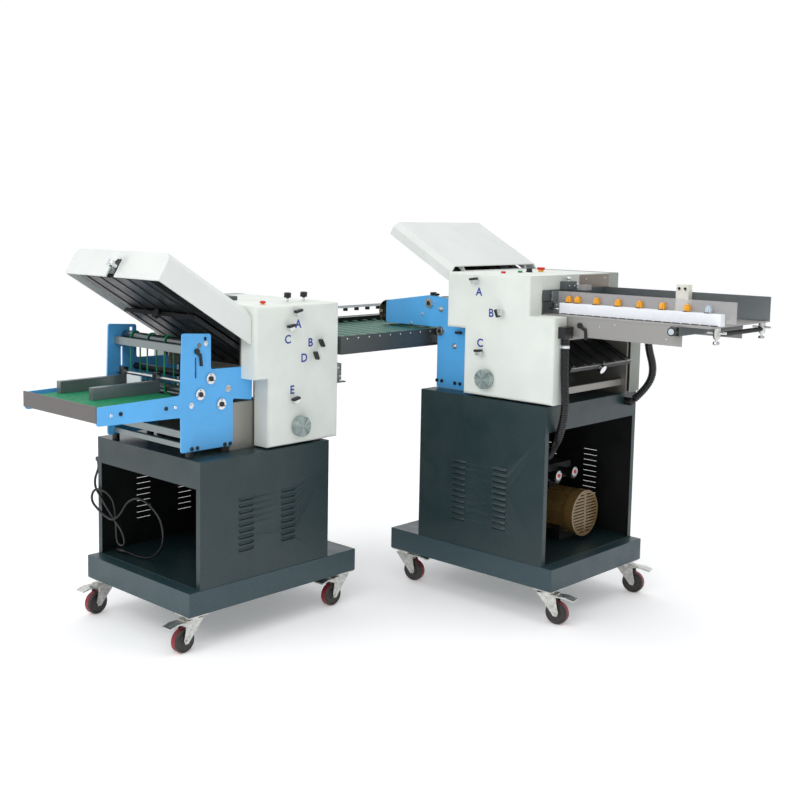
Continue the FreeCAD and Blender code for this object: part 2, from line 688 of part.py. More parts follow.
def hood_hinge(unit, name, start, wide):
    """Hinge pin along the edge of a top panel, and the leaf between the ears that carries it."""
    pin_u, pin_z = hinge_place(unit)
    left = hood_values(unit)[0]
    pin = rod(name + "_hinge_pin", d.hinge_pin, (pin_u, start + 2, pin_z), wide - 4, "y")
    near, rear = ear_places()
    leaf_start = near + d.ear_thick + 4
    leaf = box(name + "_hinge_leaf", (pin_u, leaf_start, pin_z - 2), (left + 5 - pin_u, rear - 4 - leaf_start, 2))
    return [pin, leaf]


def fold_plate(name, base_u, base_z, slope, long, knob_z):
    """Buckle plate: two sheets held apart by side rails, with ribs, and its paper stop's knob.
    It runs up the slope from its throat at the base, and down where the slope is past upright."""
    bars = 5
    wide = frame_start(True) - frame_start(False) - d.frame_thick
    start = frame_start(False) + d.frame_thick
    slab = box(name + "_slab", (-long, start, 0), (long, wide, d.pocket_thick))
    mouth = box(name + "_mouth", (10 - long, start + 12, d.pocket_thick / 2 - 2),
                (long, wide - 24, 4))
    ribs = []
    for index in range(bars):
        v = start + wide * ((index + 0.5) / bars) - 4
        ribs.append(box(f"{name}_rib_{index}", (-long, v, -d.rib_tall), (long - 30, 8, d.rib_tall + 1)))
        ribs.append(box(f"{name}_top_rib_{index}", (-long, v, d.pocket_thick - 1),
                        (long - 60, 8, d.rib_tall + 1)))
    shell = cut(name + "_shell", slab, [mouth])
    knob = rod(name + "_knob", d.disc_radius, (-long - 12, start + wide / 2, knob_z), 13, "x")
    strap = box(name + "_strap", (-long, start + wide / 2 - 12, knob_z * 0.5 - 4), (3, 24, 8 + knob_z * 0.5))
    plate = fuse(name + "_plate", [shell, knob, strap] + ribs)
    tilt = Placement(Vector(), Rotation(Vector(0, 1, 0), slope.value))
    turned = group(name + "_turned", [plate])
    turned.Placement = tilt
    place(turned, (base_u, 0, base_z))
    return turned


def fold_plates(unit):
    name = f"fold_plates_{unit}"
    if unit == 1:
        upper = fold_plate(name + "_upper", d.first_plate_u, d.first_plate_z, d.first_hood_slope,
                           d.first_plate_long, 7)
        lower = fold_plate(name + "_lower", d.first_lower_u, d.first_lower_z, d.lower_slope + 180,
                           d.lower_long, 14)
        return group(name, [upper, lower])
    top = fold_plate(name + "_top", d.second_plate_u, d.second_plate_z, d.second_hood_slope,
                     d.second_plate_long, 42)
    middle = fold_plate(name + "_middle", d.second_plate_u, d.second_plate_z - d.plate_step,
                        d.second_hood_slope, d.second_middle_long, 2)
    lower = fold_plate(name + "_lower", d.second_lower_u, d.second_lower_z, d.lower_slope + 180,
                       d.second_lower_long, 7)
    return group(name, [top, middle, lower])


# ---------------------------------------------------------------- rollers

def gear(name, u, z, turned):
    """Spur gear blank with straight-flanked teeth, on the operator's side of the frame."""
    pitch = (d.roller_pitch / 2).value
    teeth = int(d.gear_teeth.value)
    step = 360.0 / teeth
    corners = []
    for tooth in range(teeth):
        middle = tooth * step + turned
        for radius, offset in ((pitch - 2.1, -0.31), (pitch + 1.4, -0.115), (pitch + 1.4, 0.115),
                               (pitch - 2.1, 0.31)):
            angle = math.radians(middle + offset * step)
            corners.append(Vector(radius * math.cos(angle), 0, radius * math.sin(angle)))
    face = Part.Face(Part.makePolygon(corners + corners[:1]))
    item = doc.addObject("Part::Feature", name)
    item.Shape = face.extrude(Vector(0, d.gear_wide.value, 0))
    place(item, (u, frame_start(False) - d.blue_thick - d.gear_wide - 3, z))
    return item


def main_roller(unit):
    """Lower fold roller with its shaft, gear and the handwheel outside the operator's cover."""
    name = f"main_roller_{unit}"
    u, z = wheel_axis(unit)
    inner = frame_start(False) + d.frame_thick + 1
    long = frame_start(True) - 1 - inner
    barrel = rod(name + "_barrel", d.roller_radius, (u, inner, z), long, "y")
    disc_start = d.cover_face - 3 - d.handwheel_thick
    shaft = rod(name + "_shaft", d.shaft_radius, (u, disc_start + 5, z),
                frame_start(True) + d.frame_thick + 6 - disc_start - 5, "y")
    disc = rod(name + "_disc", d.handwheel_radius, (u, disc_start, z), d.handwheel_thick, "y")
    return fuse(name, [barrel, shaft, disc, gear(name + "_gear", u, z, 0.0)])


def second_roller(unit):
    """Upper fold roller, driven by the gear below it."""
    name = f"second_roller_{unit}"
    u, z = wheel_axis(unit)
    z = z + d.roller_pitch
    inner = frame_start(False) + d.frame_thick + 1
    long = frame_start(True) - 1 - inner
    barrel = rod(name + "_barrel", d.roller_radius, (u, inner, z), long, "y")
    start = frame_start(False) - d.blue_thick - d.gear_wide - 6
    shaft = rod(name + "_shaft", d.shaft_radius, (u, start, z),
                frame_start(True) + d.frame_thick + 6 - start, "y")
    half_tooth = 180.0 / d.gear_teeth.value
    return fuse(name, [barrel, shaft, gear(name + "_gear", u, z, half_tooth)])


# ---------------------------------------------------------------- top panels and controls

CONTROLS = ("stop_button", "start_button", "speed_knob", "emergency_stop")


def control_places():
    """V place and hole radius of each control on the first unit's panel."""
    return (
        (d.stop_v, d.button_radius), (d.start_v, d.button_radius), (d.speed_v, d.speed_radius),
        (d.emergency_v, d.collar_radius),
    )


def top_panel(unit):
    """Sheet panel between the side covers, level with their tops, folded down at both ends."""
    name = f"top_panel_{unit}"
    if unit == 1:
        left, right, top = d.first_cover_left, d.first_cover_back, d.first_cover_top
        drop = d.first_panel_drop
    else:
        left, right, top = d.second_cover_left, d.second_cover_right, d.second_cover_top
        drop = d.second_panel_drop
    start = d.cover_face + d.cover_deep + 0.5
    wide = d.plinth_wide - start * 2
    sheet = d.cover_sheet
    skin = box(name + "_skin", (left + 4, start, top - sheet), (right - left - 4, wide, sheet))
    apron = box(name + "_apron", (right - sheet, start, top - drop), (sheet, wide, drop))
    lip = box(name + "_lip", (left + 4, start, top - 12), (sheet, wide, 12))
    if unit == 2:
        bind(lip, "Placement.Base.z", top - 20)
        bind(lip, "Height", 20)
    panel = fuse(name + "_sheet", [skin, apron, lip] + hood_hinge(unit, name, start, wide))
    notches = [box(f"{name}_notch_{index}", (left, v - 1, top - 40), (10, d.ear_thick + 2, 41))
               for index, v in enumerate(ear_places(), start=1)]
    if unit == 2:
        return cut(name, panel, notches)
    holes = [rod(f"{name}_hole_{label}", radius + d.moving_gap, (d.control_u, v, top - 10), 20, "z")
             for label, (v, radius) in zip(CONTROLS, control_places())]
    return cut(name, panel, holes + notches)


def push_button(name, v):
    top = d.first_cover_top
    cap = rod(name + "_cap", d.button_radius, (d.control_u, v, top - 1), 8, "z")
    stem = rod(name + "_stem", 2.5, (d.control_u, v, top - 20), 20, "z")
    return fuse(name, [cap, stem])


def speed_knob():
    top = d.first_cover_top
    name = "speed_knob"
    skirt = rod(name + "_skirt", d.speed_radius, (d.control_u, d.speed_v, top - 3), 9, "z")
    grip = box(name + "_grip", (d.control_u - d.speed_radius + 1, d.speed_v - 3, top + 5),
               (d.speed_radius * 2 - 2, 6, 9))
    stem = rod(name + "_stem", 3, (d.control_u, d.speed_v, top - 18), 16, "z")
    return fuse(name, [skirt, grip, stem])


def emergency_stop():
    top = d.first_cover_top
    name = "emergency_stop"
    stem = rod(name + "_stem", d.collar_radius, (d.control_u, d.emergency_v, top - 14), 22, "z")
    head = rod(name + "_head", d.mushroom_radius, (d.control_u, d.emergency_v, top + 7), 9, "z")
    return fuse(name, [stem, head])


# ---------------------------------------------------------------- hand knobs

def gap_knob(name, u, z, tilt):
    """Two-lobed clamp nut on its threaded stem, standing out of the operator's cover."""
    stem = rod(name + "_stem", 4, (0, -20, 0), 20, "y")
    nut = box(name + "_nut", (-10, -24, -6), (20, 15, 12))
    collar = rod(name + "_collar", 8, (0, -9, 0), 9, "y")
    knob = fuse(name, [stem, nut, collar])
    knob.Placement = Placement(Vector(), Rotation(Vector(0, 1, 0), tilt))
    place(knob, (u, d.cover_face, z))
    return knob


def star_knob(name, u, v, z):
    """Small star-headed clamp screw standing on a top panel."""
    stem = rod(name + "_stem", 4, (0, 0, 0), 16, "z")
    head = fuse(name + "_head", [rod(f"{name}_lobe_{index}", 5,
                                     (7 * math.cos(index * 1.2566), 7 * math.sin(index * 1.2566), 14),
                                     9, "z") for index in range(5)])
    hub = rod(name + "_hub", 6, (0, 0, 14), 9, "z")
    knob = fuse(name, [stem, head, hub])
    place(knob, (u, v, z))
    return knob


def hand_knobs():
    """Every gap, clamp and stop knob that a hand turns: eight lettered ones and four star knobs."""
    first = [
        gap_knob("knob_1a", d.knob_1a_u, d.knob_1a_z, -15), gap_knob("knob_1b", d.knob_1b_u, d.knob_1b_z, 80),
        gap_knob("knob_1c", d.knob_1c_u, d.knob_1c_z, -10),
    ]
    second = [
        gap_knob("knob_2a", d.knob_2a_u, d.knob_2a_z, -25), gap_knob("knob_2b", d.knob_2b_u, d.knob_2b_z, 60),
        gap_knob("knob_2c", d.knob_2c_u, d.knob_2c_z, -20), gap_knob("knob_2d", d.knob_2d_u, d.knob_2d_z, 60),
        gap_knob("knob_2e", d.knob_2e_u, d.knob_2e_z, -20),
        star_knob("star_1", d.star_1_u, d.star_v, d.second_cover_top),
        star_knob("star_2", d.star_2_u, d.star_v, d.second_cover_top),
    ]
    stand = group("hand_knobs_2", second)
    stand.Placement = Placement(Vector(), Rotation(Vector(0, 0, 1), 90))
    place(stand, (-d.second_shift_x, -d.second_shift_y, 0))
    return group("hand_knobs", first + [stand])


# ---------------------------------------------------------------- feeder of the first unit

def feeder_span():
    """V start and width of the feeder between the two side covers."""
    start = d.cover_face + d.cover_deep + 2
    return start, d.plinth_wide - start * 2


def feed_table():
    """Fixed feed board on two side plates, with its end bar, clamp knob, posts and air port."""
    name = "feed_table"
    start, wide = feeder_span()
    low = d.board_top - d.board_thick
    board = box(name + "_board", (d.board_start, start, low), (d.board_long, wide, d.board_thick))
    bar_low = low - d.end_bar_tall
    bar_end = d.end_bar_u + d.end_bar_wide
    outline = ((d.side_plate_start, d.side_plate_low), (d.side_plate_start, low - 7),
               (d.side_plate_start + 20, low), (d.end_bar_u, bar_low), (bar_end, bar_low),
               (bar_end, d.side_plate_low))
    pin_hole = d.lever_pin + d.running_fit
    near = prism(name + "_near", "XZ_Plane", outline, start, d.side_plate_thick)
    near_plate = cut(name + "_near_plate", near, [
        rod(name + "_pin_hole", pin_hole, (d.feed_lever_u, start - 1, d.feed_lever_z),
            d.side_plate_thick + 2, "y")])
    rear = prism(name + "_rear", "XZ_Plane", outline, start + wide - d.side_plate_thick,
                 d.side_plate_thick)
    rear_plate = group(name + "_rear_plate", [rear])
    bar = box(name + "_bar", (d.end_bar_u, d.end_bar_v, bar_low),
              (d.end_bar_wide, start + wide + 2 - d.end_bar_v, d.end_bar_tall))
    knob_z = bar_low + d.end_bar_tall / 2
    knob = rod(name + "_knob", d.end_knob, (d.end_bar_u + d.end_bar_wide / 2, d.end_bar_v - 20, knob_z),
               20, "y")
    posts = []
    for index, v in enumerate((d.post_v, d.plinth_wide - d.post_v + 48), start=1):
        upright = rod(f"{name}_post_{index}", 6, (d.post_u, v, low - d.post_tall), d.post_tall, "z")
        wing = rod(f"{name}_wing_{index}", 4, (d.post_u - 30, v, low - 16), 60, "x")
        posts.append(fuse(f"{name}_support_{index}", [upright, wing]))
    port = box(name + "_port", (d.rear_port_u, start + wide, d.rear_port_z), (30, 37, 30))
    return group(name, [board, near_plate, rear_plate, bar, knob, port] + posts)


def side_guide():
    """Sliding near register: white base, clear retainer strip and its row of ball holders."""
    name = "side_guide"
    low = d.board_top + d.slide_gap
    base = box(name + "_base", (d.guide_start, d.guide_v, low), (d.guide_long, d.guide_wide, d.guide_tall))
    strip = box(name + "_strip", (d.guide_start, d.guide_v + d.guide_wide, low + 8),
                (d.guide_long + 36, 4, 64))
    holders = []
    for index in range(int(d.ball_count.value)):
        u = d.guide_start + 8 + d.ball_pitch * index
        holders.append(box(f"{name}_holder_{index + 1}", (u, d.guide_v + d.guide_wide + 4, low + 43),
                           (17, 14, 19)))
    return group(name, [base, strip] + holders)


def far_guide():
    """Sliding rear register: an upright dark rail with a drilled paper weight against it."""
    name = "far_guide"
    low = d.board_top + d.slide_gap
    v = d.plinth_wide - d.far_inset
    rail = box(name + "_rail", (d.far_start, v, low), (d.far_long, 5, d.far_tall))
    foot = box(name + "_foot", (d.far_start, v - 12, low), (d.far_long, 12, 3))
    block = box(name + "_block", (d.weight_u, v - 25, low + 3), (46, 25, 98))
    holes = [rod(f"{name}_hole_{index}", 4, (d.weight_u + 12 + 22 * index, v - 26, low + 84), 27, "y")
             for index in (0, 1)]
    return group(name, [fuse(name + "_angle", [rail, foot]), cut(name + "_weight", block, holes)])


def clamp_lever(name, at, long, fall, v, thick, reach):
    """Small bent lever on a pin; the pin points to the rear into its plate."""
    u, z = at
    hub = rod(name + "_hub", 9, (u, v, z), thick, "y")
    pin = rod(name + "_pin", d.lever_pin, (u, v, z), thick + reach, "y")
    outline = ((u - 4, z + 4), (u + long, z - fall * 0.3 + 5), (u + long + 5, z - fall),
               (u + long - 4, z - fall), (u + long - 6, z - fall * 0.3 - 4), (u - 4, z - 5))
    arm = prism(name + "_arm", "XZ_Plane", outline, v, thick)
    return fuse(name, [hub, pin, arm])


def feed_clamp_lever():
    start, wide = feeder_span()
    return clamp_lever("feed_clamp_lever", (d.feed_lever_u, d.feed_lever_z), 24, 44,
                       start - 0.4 - 6, 6, d.side_plate_thick + 0.4)


# ---------------------------------------------------------------- hoses and cord

def tube(name, radius, points):
    """Round hose through straight runs joined by tangent arcs."""
    route = [Vector(*[as_size(value).value for value in point]) for point in points]
    edges = []
    here = route[0]
    for before, corner, after in zip(route, route[1:], route[2:]):
        inward = (corner - before).normalize()
        outward = (after - corner).normalize()
        turn = inward.getAngle(outward)
        reach = 0.45 * min((corner - before).Length, (after - corner).Length)
        bend = reach / math.tan(turn / 2)
        start = corner - inward * reach
        end = corner + outward * reach
        centre_way = (outward - inward).normalize()
        middle = corner + centre_way * (bend / math.cos(turn / 2) - bend)
        edges.append(Part.LineSegment(here, start).toShape())
        edges.append(Part.Arc(start, middle, end).toShape())
        here = end
        print(f"{name}: bend radius {bend:.1f} turn {math.degrees(turn):.0f}")
    edges.append(Part.LineSegment(here, route[-1]).toShape())
    spine = Part.Wire(edges)
    first = (route[1] - route[0]).normalize()
    size = as_size(radius).value
    section = Part.Wire([Part.makeCircle(size, route[0], first)])
    item = doc.addObject("Part::Feature", name)
    item.Shape = spine.makePipeShell([section], True, True)
    print(f"{name}: length {spine.Length:.1f} volume {item.Shape.Volume:.0f}",
          f"section by length {math.pi * size * size * spine.Length:.0f}")
    return item


def air_hose_front():
    """From the port block down past the cabinet's cap and in through its open end to the pump."""
    u = d.front_port_u + 13
    return tube("air_hose_front", d.hose_radius, (
        (u, d.front_port_v, d.front_port_z), (u, d.front_port_v, 830), (u + 10, d.front_port_v, 700),
        (-32, d.front_port_v + 8, 610), (-80, d.front_port_v + 48, 566),
        (-132, d.front_port_v + 100, 524)))


def air_hose_rear():
    """From the feeder's rear port, bowing outwards, down to the cabinet's cap."""
    u = d.rear_port_u + 15
    return tube("air_hose_rear", d.hose_radius, (
        (u, 492, d.rear_port_z), (u, 492, 890), (u + 8, 530, 800), (u - 16, 520, 735),
        (d.rear_tail_u + 6.9, 488.1, 699.1)))


def mains_cord():
    """Mains lead of the second unit, hung in its open cabinet in a loose hank, with its plug."""
    lead = tube("mains_cord_lead", d.cord_radius, (
        (-655, 559, 497), (-655, 559, 476), (-663, 572, 440), (-671, 558, 412), (-671, 530, 390),
        (-667, 490, 350), (-662, 455, 316), (-656, 420, 284), (-650, 414, 238), (-644, 472, 230),
        (-646, 474, 290), (-650, 472, 345), (-655, 480, 386), (-668, 508, 410), (-681, 552, 410),
        (-678, 574, 366), (-676, 530, 340), (-674, 490, 326), (-672, 452, 320), (-660, 425, 344),
        (-648, 410, 384), (-640, 360, 410), (-640, 292, 398), (-638, 243, 366), (-636, 226, 326),
        (-624, 244, 272), (-610, 300, 226), (-604, 352, 200), (-609, 416, 196.2), (-613, 450, 201.2),
        (-616, 475, 201.2)))
    plug = tube("mains_cord_plug", 9, ((-616, 475, 201.2), (-620.05, 508.76, 201.2)))
    boot = box("mains_cord_boot", (-663, 550, 497), (16, 18, 16))
    return group("mains_cord", [lead, plug, boot])


# ---------------------------------------------------------------- vacuum pump

def vacuum_pump():
    """Motor with a slotted fan cowl and cooling ribs, rotary pump behind it, valves on top."""
    name = "vacuum_pump"
    u, v, z = d.pump_u, d.pump_v, d.pump_z
    floor = d.caster_tall + d.plinth_tall + d.cabinet_sheet
    cowl_long = 34
    cowl_body = rod(name + "_cowl_body", d.pump_radius, (u - cowl_long, v, z), cowl_long, "x")
    slots = []
    rows = int(d.grille_rows.value)
    for index in range(rows):
        height = z - d.pump_radius + 16 + (d.pump_radius * 2 - 32) * (index / (rows - 1))
        half = (d.pump_radius.value - 9) ** 2 - (height.value - z.value) ** 2
        if half > 225:
            reach = math.sqrt(half)
            slots.append(box(f"{name}_slot_{index}", (u - 3, v - reach, height - 2.2), (4, reach * 2, 4.4)))
    hollow = rod(name + "_hollow", d.pump_radius - 4, (u - cowl_long + 2, v, z), cowl_long - 5, "x")
    cowl = cut(name + "_cowl", cowl_body, [hollow] + slots)
    spoke = box(name + "_spoke", (u - 3, v - 6, z - d.pump_radius + 6), (3, 12, d.pump_radius * 2 - 12))
    cowl_set = fuse(name + "_cowl_set", [cowl, spoke])
    back = u - cowl_long - d.motor_long
    motor = rod(name + "_motor", d.pump_radius - 6, (back, v, z), d.motor_long, "x")
    ribs = []
    for index in range(12):
        angle = math.radians(index * 30)
        rib = box(f"{name}_rib_{index}", (back + 4, -2, d.pump_radius - 8), (d.motor_long - 8, 4, 7))
        rib.Placement = Placement(Vector(), Rotation(Vector(1, 0, 0), index * 30))
        place(rib, (back + 4, v + 2 * -math.cos(angle) + (d.pump_radius - 8) * -math.sin(angle),
                    z + 2 * -math.sin(angle) + (d.pump_radius - 8) * math.cos(angle)))
        ribs.append(rib)
    head = rod(name + "_head", d.pump_radius - 12, (back - 110, v, z), 110, "x")
    drive = fuse(name + "_drive", [motor, head] + ribs)
    feet = [box(f"{name}_foot_{index}", (start, v - 60, floor), (30, 120, z - floor - 40))
            for index, start in enumerate((back - 80, back + d.motor_long - 60), start=1)]
    saddle = d.pump_radius - 8
    manifold = box(name + "_manifold", (back - 60, v - 150, z + saddle + 40), (150, 190, 56))
    neck = box(name + "_neck", (back - 40, v - 30, z + saddle - 30), (90, 60, 72))
    body = fuse(name + "_body", [drive, manifold, neck] + feet)
    knobs = []
    for index, (side, up) in enumerate(((d.valve_1_v, 0), (d.valve_2_v, 2)), start=1):
        centre = z + saddle + 68 + up
        knobs.append(fuse(f"{name}_valve_{index}", [
            rod(f"{name}_valve_stem_{index}", 13, (back + 90, side, centre), 40, "x"),
            rod(f"{name}_valve_knob_{index}", 20, (back + 130, side, centre), 22, "x")]))
    filter_up = z + saddle + 96
    strainer = rod(name + "_filter", 24, (back + 30, v - 106, filter_up), 78, "z")
    gauge = rod(name + "_gauge", 18, (back + 46, v - 106, filter_up + 50), 30, "x")
    tail = rod(name + "_tail", 14, (back + 30, v - 140, filter_up), 30, "z")
    return group(name, [cowl_set, body] + knobs + [fuse(name + "_strainer", [strainer, gauge, tail])])


# ---------------------------------------------------------------- delivery frames

def blue_starts():
    near = d.cover_face + d.cover_deep
    return near, d.plinth_wide - near - d.blue_thick


def blue_plates(name, outline, holes, slots):
    """The pair of painted side plates, drilled for shafts and slotted for adjustment."""
    plates = []
    for side, start in zip(("near", "rear"), blue_starts()):
        plate = prism(f"{name}_{side}", "XZ_Plane", outline, start, d.blue_thick)
        tools = [rod(f"{name}_{side}_hole_{index}", radius, (u, start - 1, z), d.blue_thick + 2, "y")
                 for index, (u, z, radius) in enumerate(holes, start=1)]
        tools += [box(f"{name}_{side}_slot_{index}", (u, start - 1, z), (wide, d.blue_thick + 2, tall))
                  for index, (u, z, wide, tall) in enumerate(slots, start=1)]
        plates.append(cut(f"{name}_{side}_plate", plate, tools) if tools else plate)
    return plates


def cross_bar(name, u, z, wide, tall):
    """Square bar between the two blue plates, held by its end faces."""
    near, rear = blue_starts()
    start = near + d.blue_thick
    return box(name, (u - wide / 2, start, z - tall / 2), (wide, rear - start, tall))


def flange_bearing(name, u, z, rear):
    """Round flange bearing on the outer face of a blue plate, open for its shaft."""
    near_face, rear_face = blue_starts()
    start = rear_face + d.blue_thick if rear else near_face - d.bearing_thick
    ring = rod(name + "_ring", d.bearing_radius, (u, start, z), d.bearing_thick, "y")
    bore = rod(name + "_bore", d.shaft_radius + d.running_fit, (u, start - 1, z), d.bearing_thick + 2, "y")
    return cut(name, ring, [bore])


def through_shaft(name, u, z, radius, near_reach=None):
    """Shaft through both plates and bearings with a thicker roller body between the plates."""
    near, rear = blue_starts()
    reach = d.bearing_thick + 3
    near_reach = reach if near_reach is None else near_reach
    shaft = rod(name + "_shaft", d.shaft_radius, (u, near - near_reach, z),
                rear + d.blue_thick - near + reach + near_reach, "y")
    body = rod(name + "_body", radius, (u, near + d.blue_thick + 4, z), rear - near - d.blue_thick - 8, "y")
    return fuse(name, [shaft, body])


def delivery_frame(unit):
    name = f"delivery_frame_{unit}"
    bore = d.shaft_radius + d.running_fit
    if unit == 1:
        outline = (
            (d.first_top_left, d.first_arm_low), (d.first_arm_nose, d.first_arm_low),
            (d.first_arm_nose, d.first_arm_high), (-604, 1046), (-455, 1030),
            (d.first_blue_right, 1030), (d.first_blue_right, d.first_blue_low),
            (d.first_top_left, d.first_blue_low))
        axes = ((-608, 1017), (-553, 921))
        bars = ((-562, 744, 16, 16), (-470, 744, 16, 16), (-696, 950, 14, 14))
        slots = ()
    else:
        outline = (
            (-672, 965), (-565, 958), (-565, 849), (-460, 847), (d.second_blue_right, 847),
            (d.second_blue_right, 738), (-478, 750), (-478, d.second_blue_low),
            (d.second_top_left, d.second_blue_low), (d.second_top_left, 711), (d.second_arm_end, 719),
            (d.second_arm_end, 773), (-679, 778))
        axes = ((d.belt_u, d.belt_high_z), (d.belt_u, d.belt_low_z), (-570, 821), (-528, 738))
        bars = ((-645, 617, 16, 16), (-518, 614, 16, 16), (-646, 912, 12, 24), (-646, 651, 12, 22))
        slots = ((-626, 826, 8, 63), (-591, 938, 12, 12))
    holes = [(u, z, bore) for u, z in axes]
    if unit == 2:
        holes.append((d.frame_lever_u, d.frame_lever_z, d.lever_pin + d.running_fit))
    plates = blue_plates(name, outline, holes, slots)
    bearings = []
    for index, (u, z) in enumerate(axes, start=1):
        for rear in (False, True):
            if (unit, index, rear) == (2, 1, False):
                continue
            bearings.append(flange_bearing(f"{name}_bearing_{index}_{int(rear)}", u, z, rear))
    tie_bars = [cross_bar(f"{name}_tie_{index}", *bar) for index, bar in enumerate(bars, start=1)]
    shafts = []
    for index, (u, z) in enumerate(axes, start=1):
        if unit == 1 or index > 1:
            radius = 15 if (unit, index) in ((2, 2), (1, 1), (1, 2)) else 11
            shafts.append(through_shaft(f"{name}_shaft_{index}", u, z, radius))
    extra = delivery_nose(name) if unit == 1 else delivery_feet(name)
    return group(name, plates + bearings + tie_bars + shafts + extra)


def delivery_nose(name):
    """Curved brass guide strip round the nose of the first frame's arms, and its docking brackets."""
    near, rear = blue_starts()
    start = near + d.blue_thick
    outer = rod(name + "_nose_outer", d.nose_radius, (d.first_arm_nose, start, d.nose_z), rear - start, "y")
    inner = rod(name + "_nose_inner", d.nose_radius - 2, (d.first_arm_nose, start - 1, d.nose_z),
                rear - start + 2, "y")
    cutaway = box(name + "_nose_cutaway", (d.first_arm_nose, start - 1, d.nose_z - d.nose_radius - 1),
                  (d.nose_radius + 1, rear - start + 2, d.nose_radius * 2 + 2))
    strip = cut(name + "_nose", outer, [inner, cutaway])
    spreader = box(name + "_nose_bar", (d.first_arm_nose - d.nose_radius + 2, start, d.nose_z - 6),
                   (16, rear - start, 12))
    return [fuse(name + "_nose_guide", [strip, spreader])]


def delivery_feet(name):
    """Rubber feet under the second frame's plates, standing on the cabinet."""
    feet = []
    for side, start in zip(("near", "rear"), blue_starts()):
        for index, u in enumerate((d.second_top_left + 32, -510), start=1):
            feet.append(rod(f"{name}_foot_{side}_{index}", d.foot_radius,
                            (u, start + d.blue_thick / 2, d.second_top), d.second_blue_low - d.second_top,
                            "z"))
    return feet


def belt_roller():
    """Driving roller of the round belts, on its own shaft between the second unit's plates."""
    name = "belt_roller"
    roller = through_shaft(name, d.belt_u, d.belt_high_z, d.belt_roller_radius, -0.2)
    return group(name + "_stand", [roller])


def belt_loop(name, v):
    """Endless round belt over the two grooved rollers."""
    inner = d.belt_roller_radius + d.belt_gap
    middle = (inner + d.belt_round / 2).value
    high = d.belt_high_z.value
    low = d.belt_low_z.value
    u = d.belt_u.value
    across = as_size(v).value
    edges = [
        Part.LineSegment(Vector(u - middle, across, low), Vector(u - middle, across, high)).toShape(),
        Part.Arc(Vector(u - middle, across, high), Vector(u, across, high + middle),
                 Vector(u + middle, across, high)).toShape(),
        Part.LineSegment(Vector(u + middle, across, high), Vector(u + middle, across, low)).toShape(),
        Part.Arc(Vector(u + middle, across, low), Vector(u, across, low - middle),
                 Vector(u - middle, across, low)).toShape(),
    ]
    spine = Part.Wire(edges)
    half = (d.belt_round / 2).value
    section = Part.Wire([Part.makeCircle(half, Vector(u - middle, across, low), Vector(0, 0, 1))])
    item = doc.addObject("Part::Feature", name)
    item.Shape = spine.makePipeShell([section], True, True)
    return item


def round_belts():
    start, wide = feeder_span()
    belts = [belt_loop(f"round_belt_{index}", start + 60 + d.belt_pitch * index) for index in range(4)]
    return group("round_belts", belts)


def stadium(name, left, right, z, radius, start, wide):
    """Flat belt form: two half rounds joined by straight runs."""
    core = box(name + "_core", (left, start, z - radius), (right - left, wide, radius * 2))
    ends = [rod(f"{name}_end_{index}", radius, (u, start, z), wide, "y")
            for index, u in enumerate((left, right), start=1)]
    return fuse(name, [core] + ends)


def conveyor():
    """Flat delivery belt round its two end rollers, its bed, end plate and carrying bars."""
    name = "conveyor"
    near, rear = blue_starts()
    centre = d.conveyor_top - d.conveyor_round
    left = d.conveyor_left + d.conveyor_round
    right = d.conveyor_right - d.conveyor_round
    belt_start = near + d.blue_thick + d.conveyor_side
    belt_wide = rear - d.conveyor_side - belt_start
    outer = stadium(name + "_outer", left, right, centre, d.conveyor_round, belt_start, belt_wide)
    inner = stadium(name + "_inner", left, right, centre, d.conveyor_round - 2, belt_start - 1,
                    belt_wide + 2)
    belt = cut(name + "_belt", outer, [inner])
    bed = box(name + "_bed", (left + 14, near + d.blue_thick, centre - 5),
              (right - left - 28, rear - near - d.blue_thick, 10))
    rollers = [rod(f"{name}_roller_{index}", d.conveyor_round - 2.2, (u, near + d.blue_thick, centre),
                   rear - near - d.blue_thick, "y") for index, u in enumerate((left, right), start=1)]
    plate = box(name + "_plate", (d.second_arm_end - 4, near, 728), (4, rear + d.blue_thick - near, 48))
    stop = box(name + "_stop", (-668, 300, d.conveyor_top), (5, 75, 46))
    return group(name, [belt, bed, plate, stop] + rollers)


def tray_rod():
    near, rear = blue_starts()
    start = near + d.blue_thick
    return rod("tray_rod", d.tray_rod_radius, (d.tray_rod_u, start, d.tray_rod_z), rear - start, "y")


def tray_guide(name, v):
    """Side rail over the delivery belt, hung on the cross rod by its sliding block."""
    low = d.conveyor_top + 0.6
    wide = d.tray_guide_wide
    rail = box(name + "_rail", (d.conveyor_left + 25, v, low), (d.tray_rod_u - d.conveyor_left - 25, wide, 37))
    block = box(name + "_block", (d.tray_rod_u - 14, v, low + 30), (21, wide, 32))
    bore = rod(name + "_bore", d.tray_rod_radius + d.running_fit, (d.tray_rod_u, v - 1, d.tray_rod_z),
               wide + 2, "y")
    return cut(name, fuse(name + "_body", [rail, block]), [bore])


def frame_clamp_lever():
    near, rear = blue_starts()
    return clamp_lever("frame_clamp_lever", (d.frame_lever_u, d.frame_lever_z), 16, 46,
                       near - 0.4 - 6, 6, d.blue_thick + 0.4)


# ---------------------------------------------------------------- transfer table

def table_sides():
    """X of the table's two long walls, over the second unit's width, and Y of its rear end."""
    right = d.table_overlap - d.second_shift_x
    return right - d.plinth_wide - d.table_overlap * 2, right, d.plinth_wide - d.table_rear_inset


def table_axes():
    """Centre Y of each skewed roller, from the delivery end backwards."""
    return [d.table_start_y + d.table_edge + d.table_pitch * index for index in range(int(d.table_count.value))]


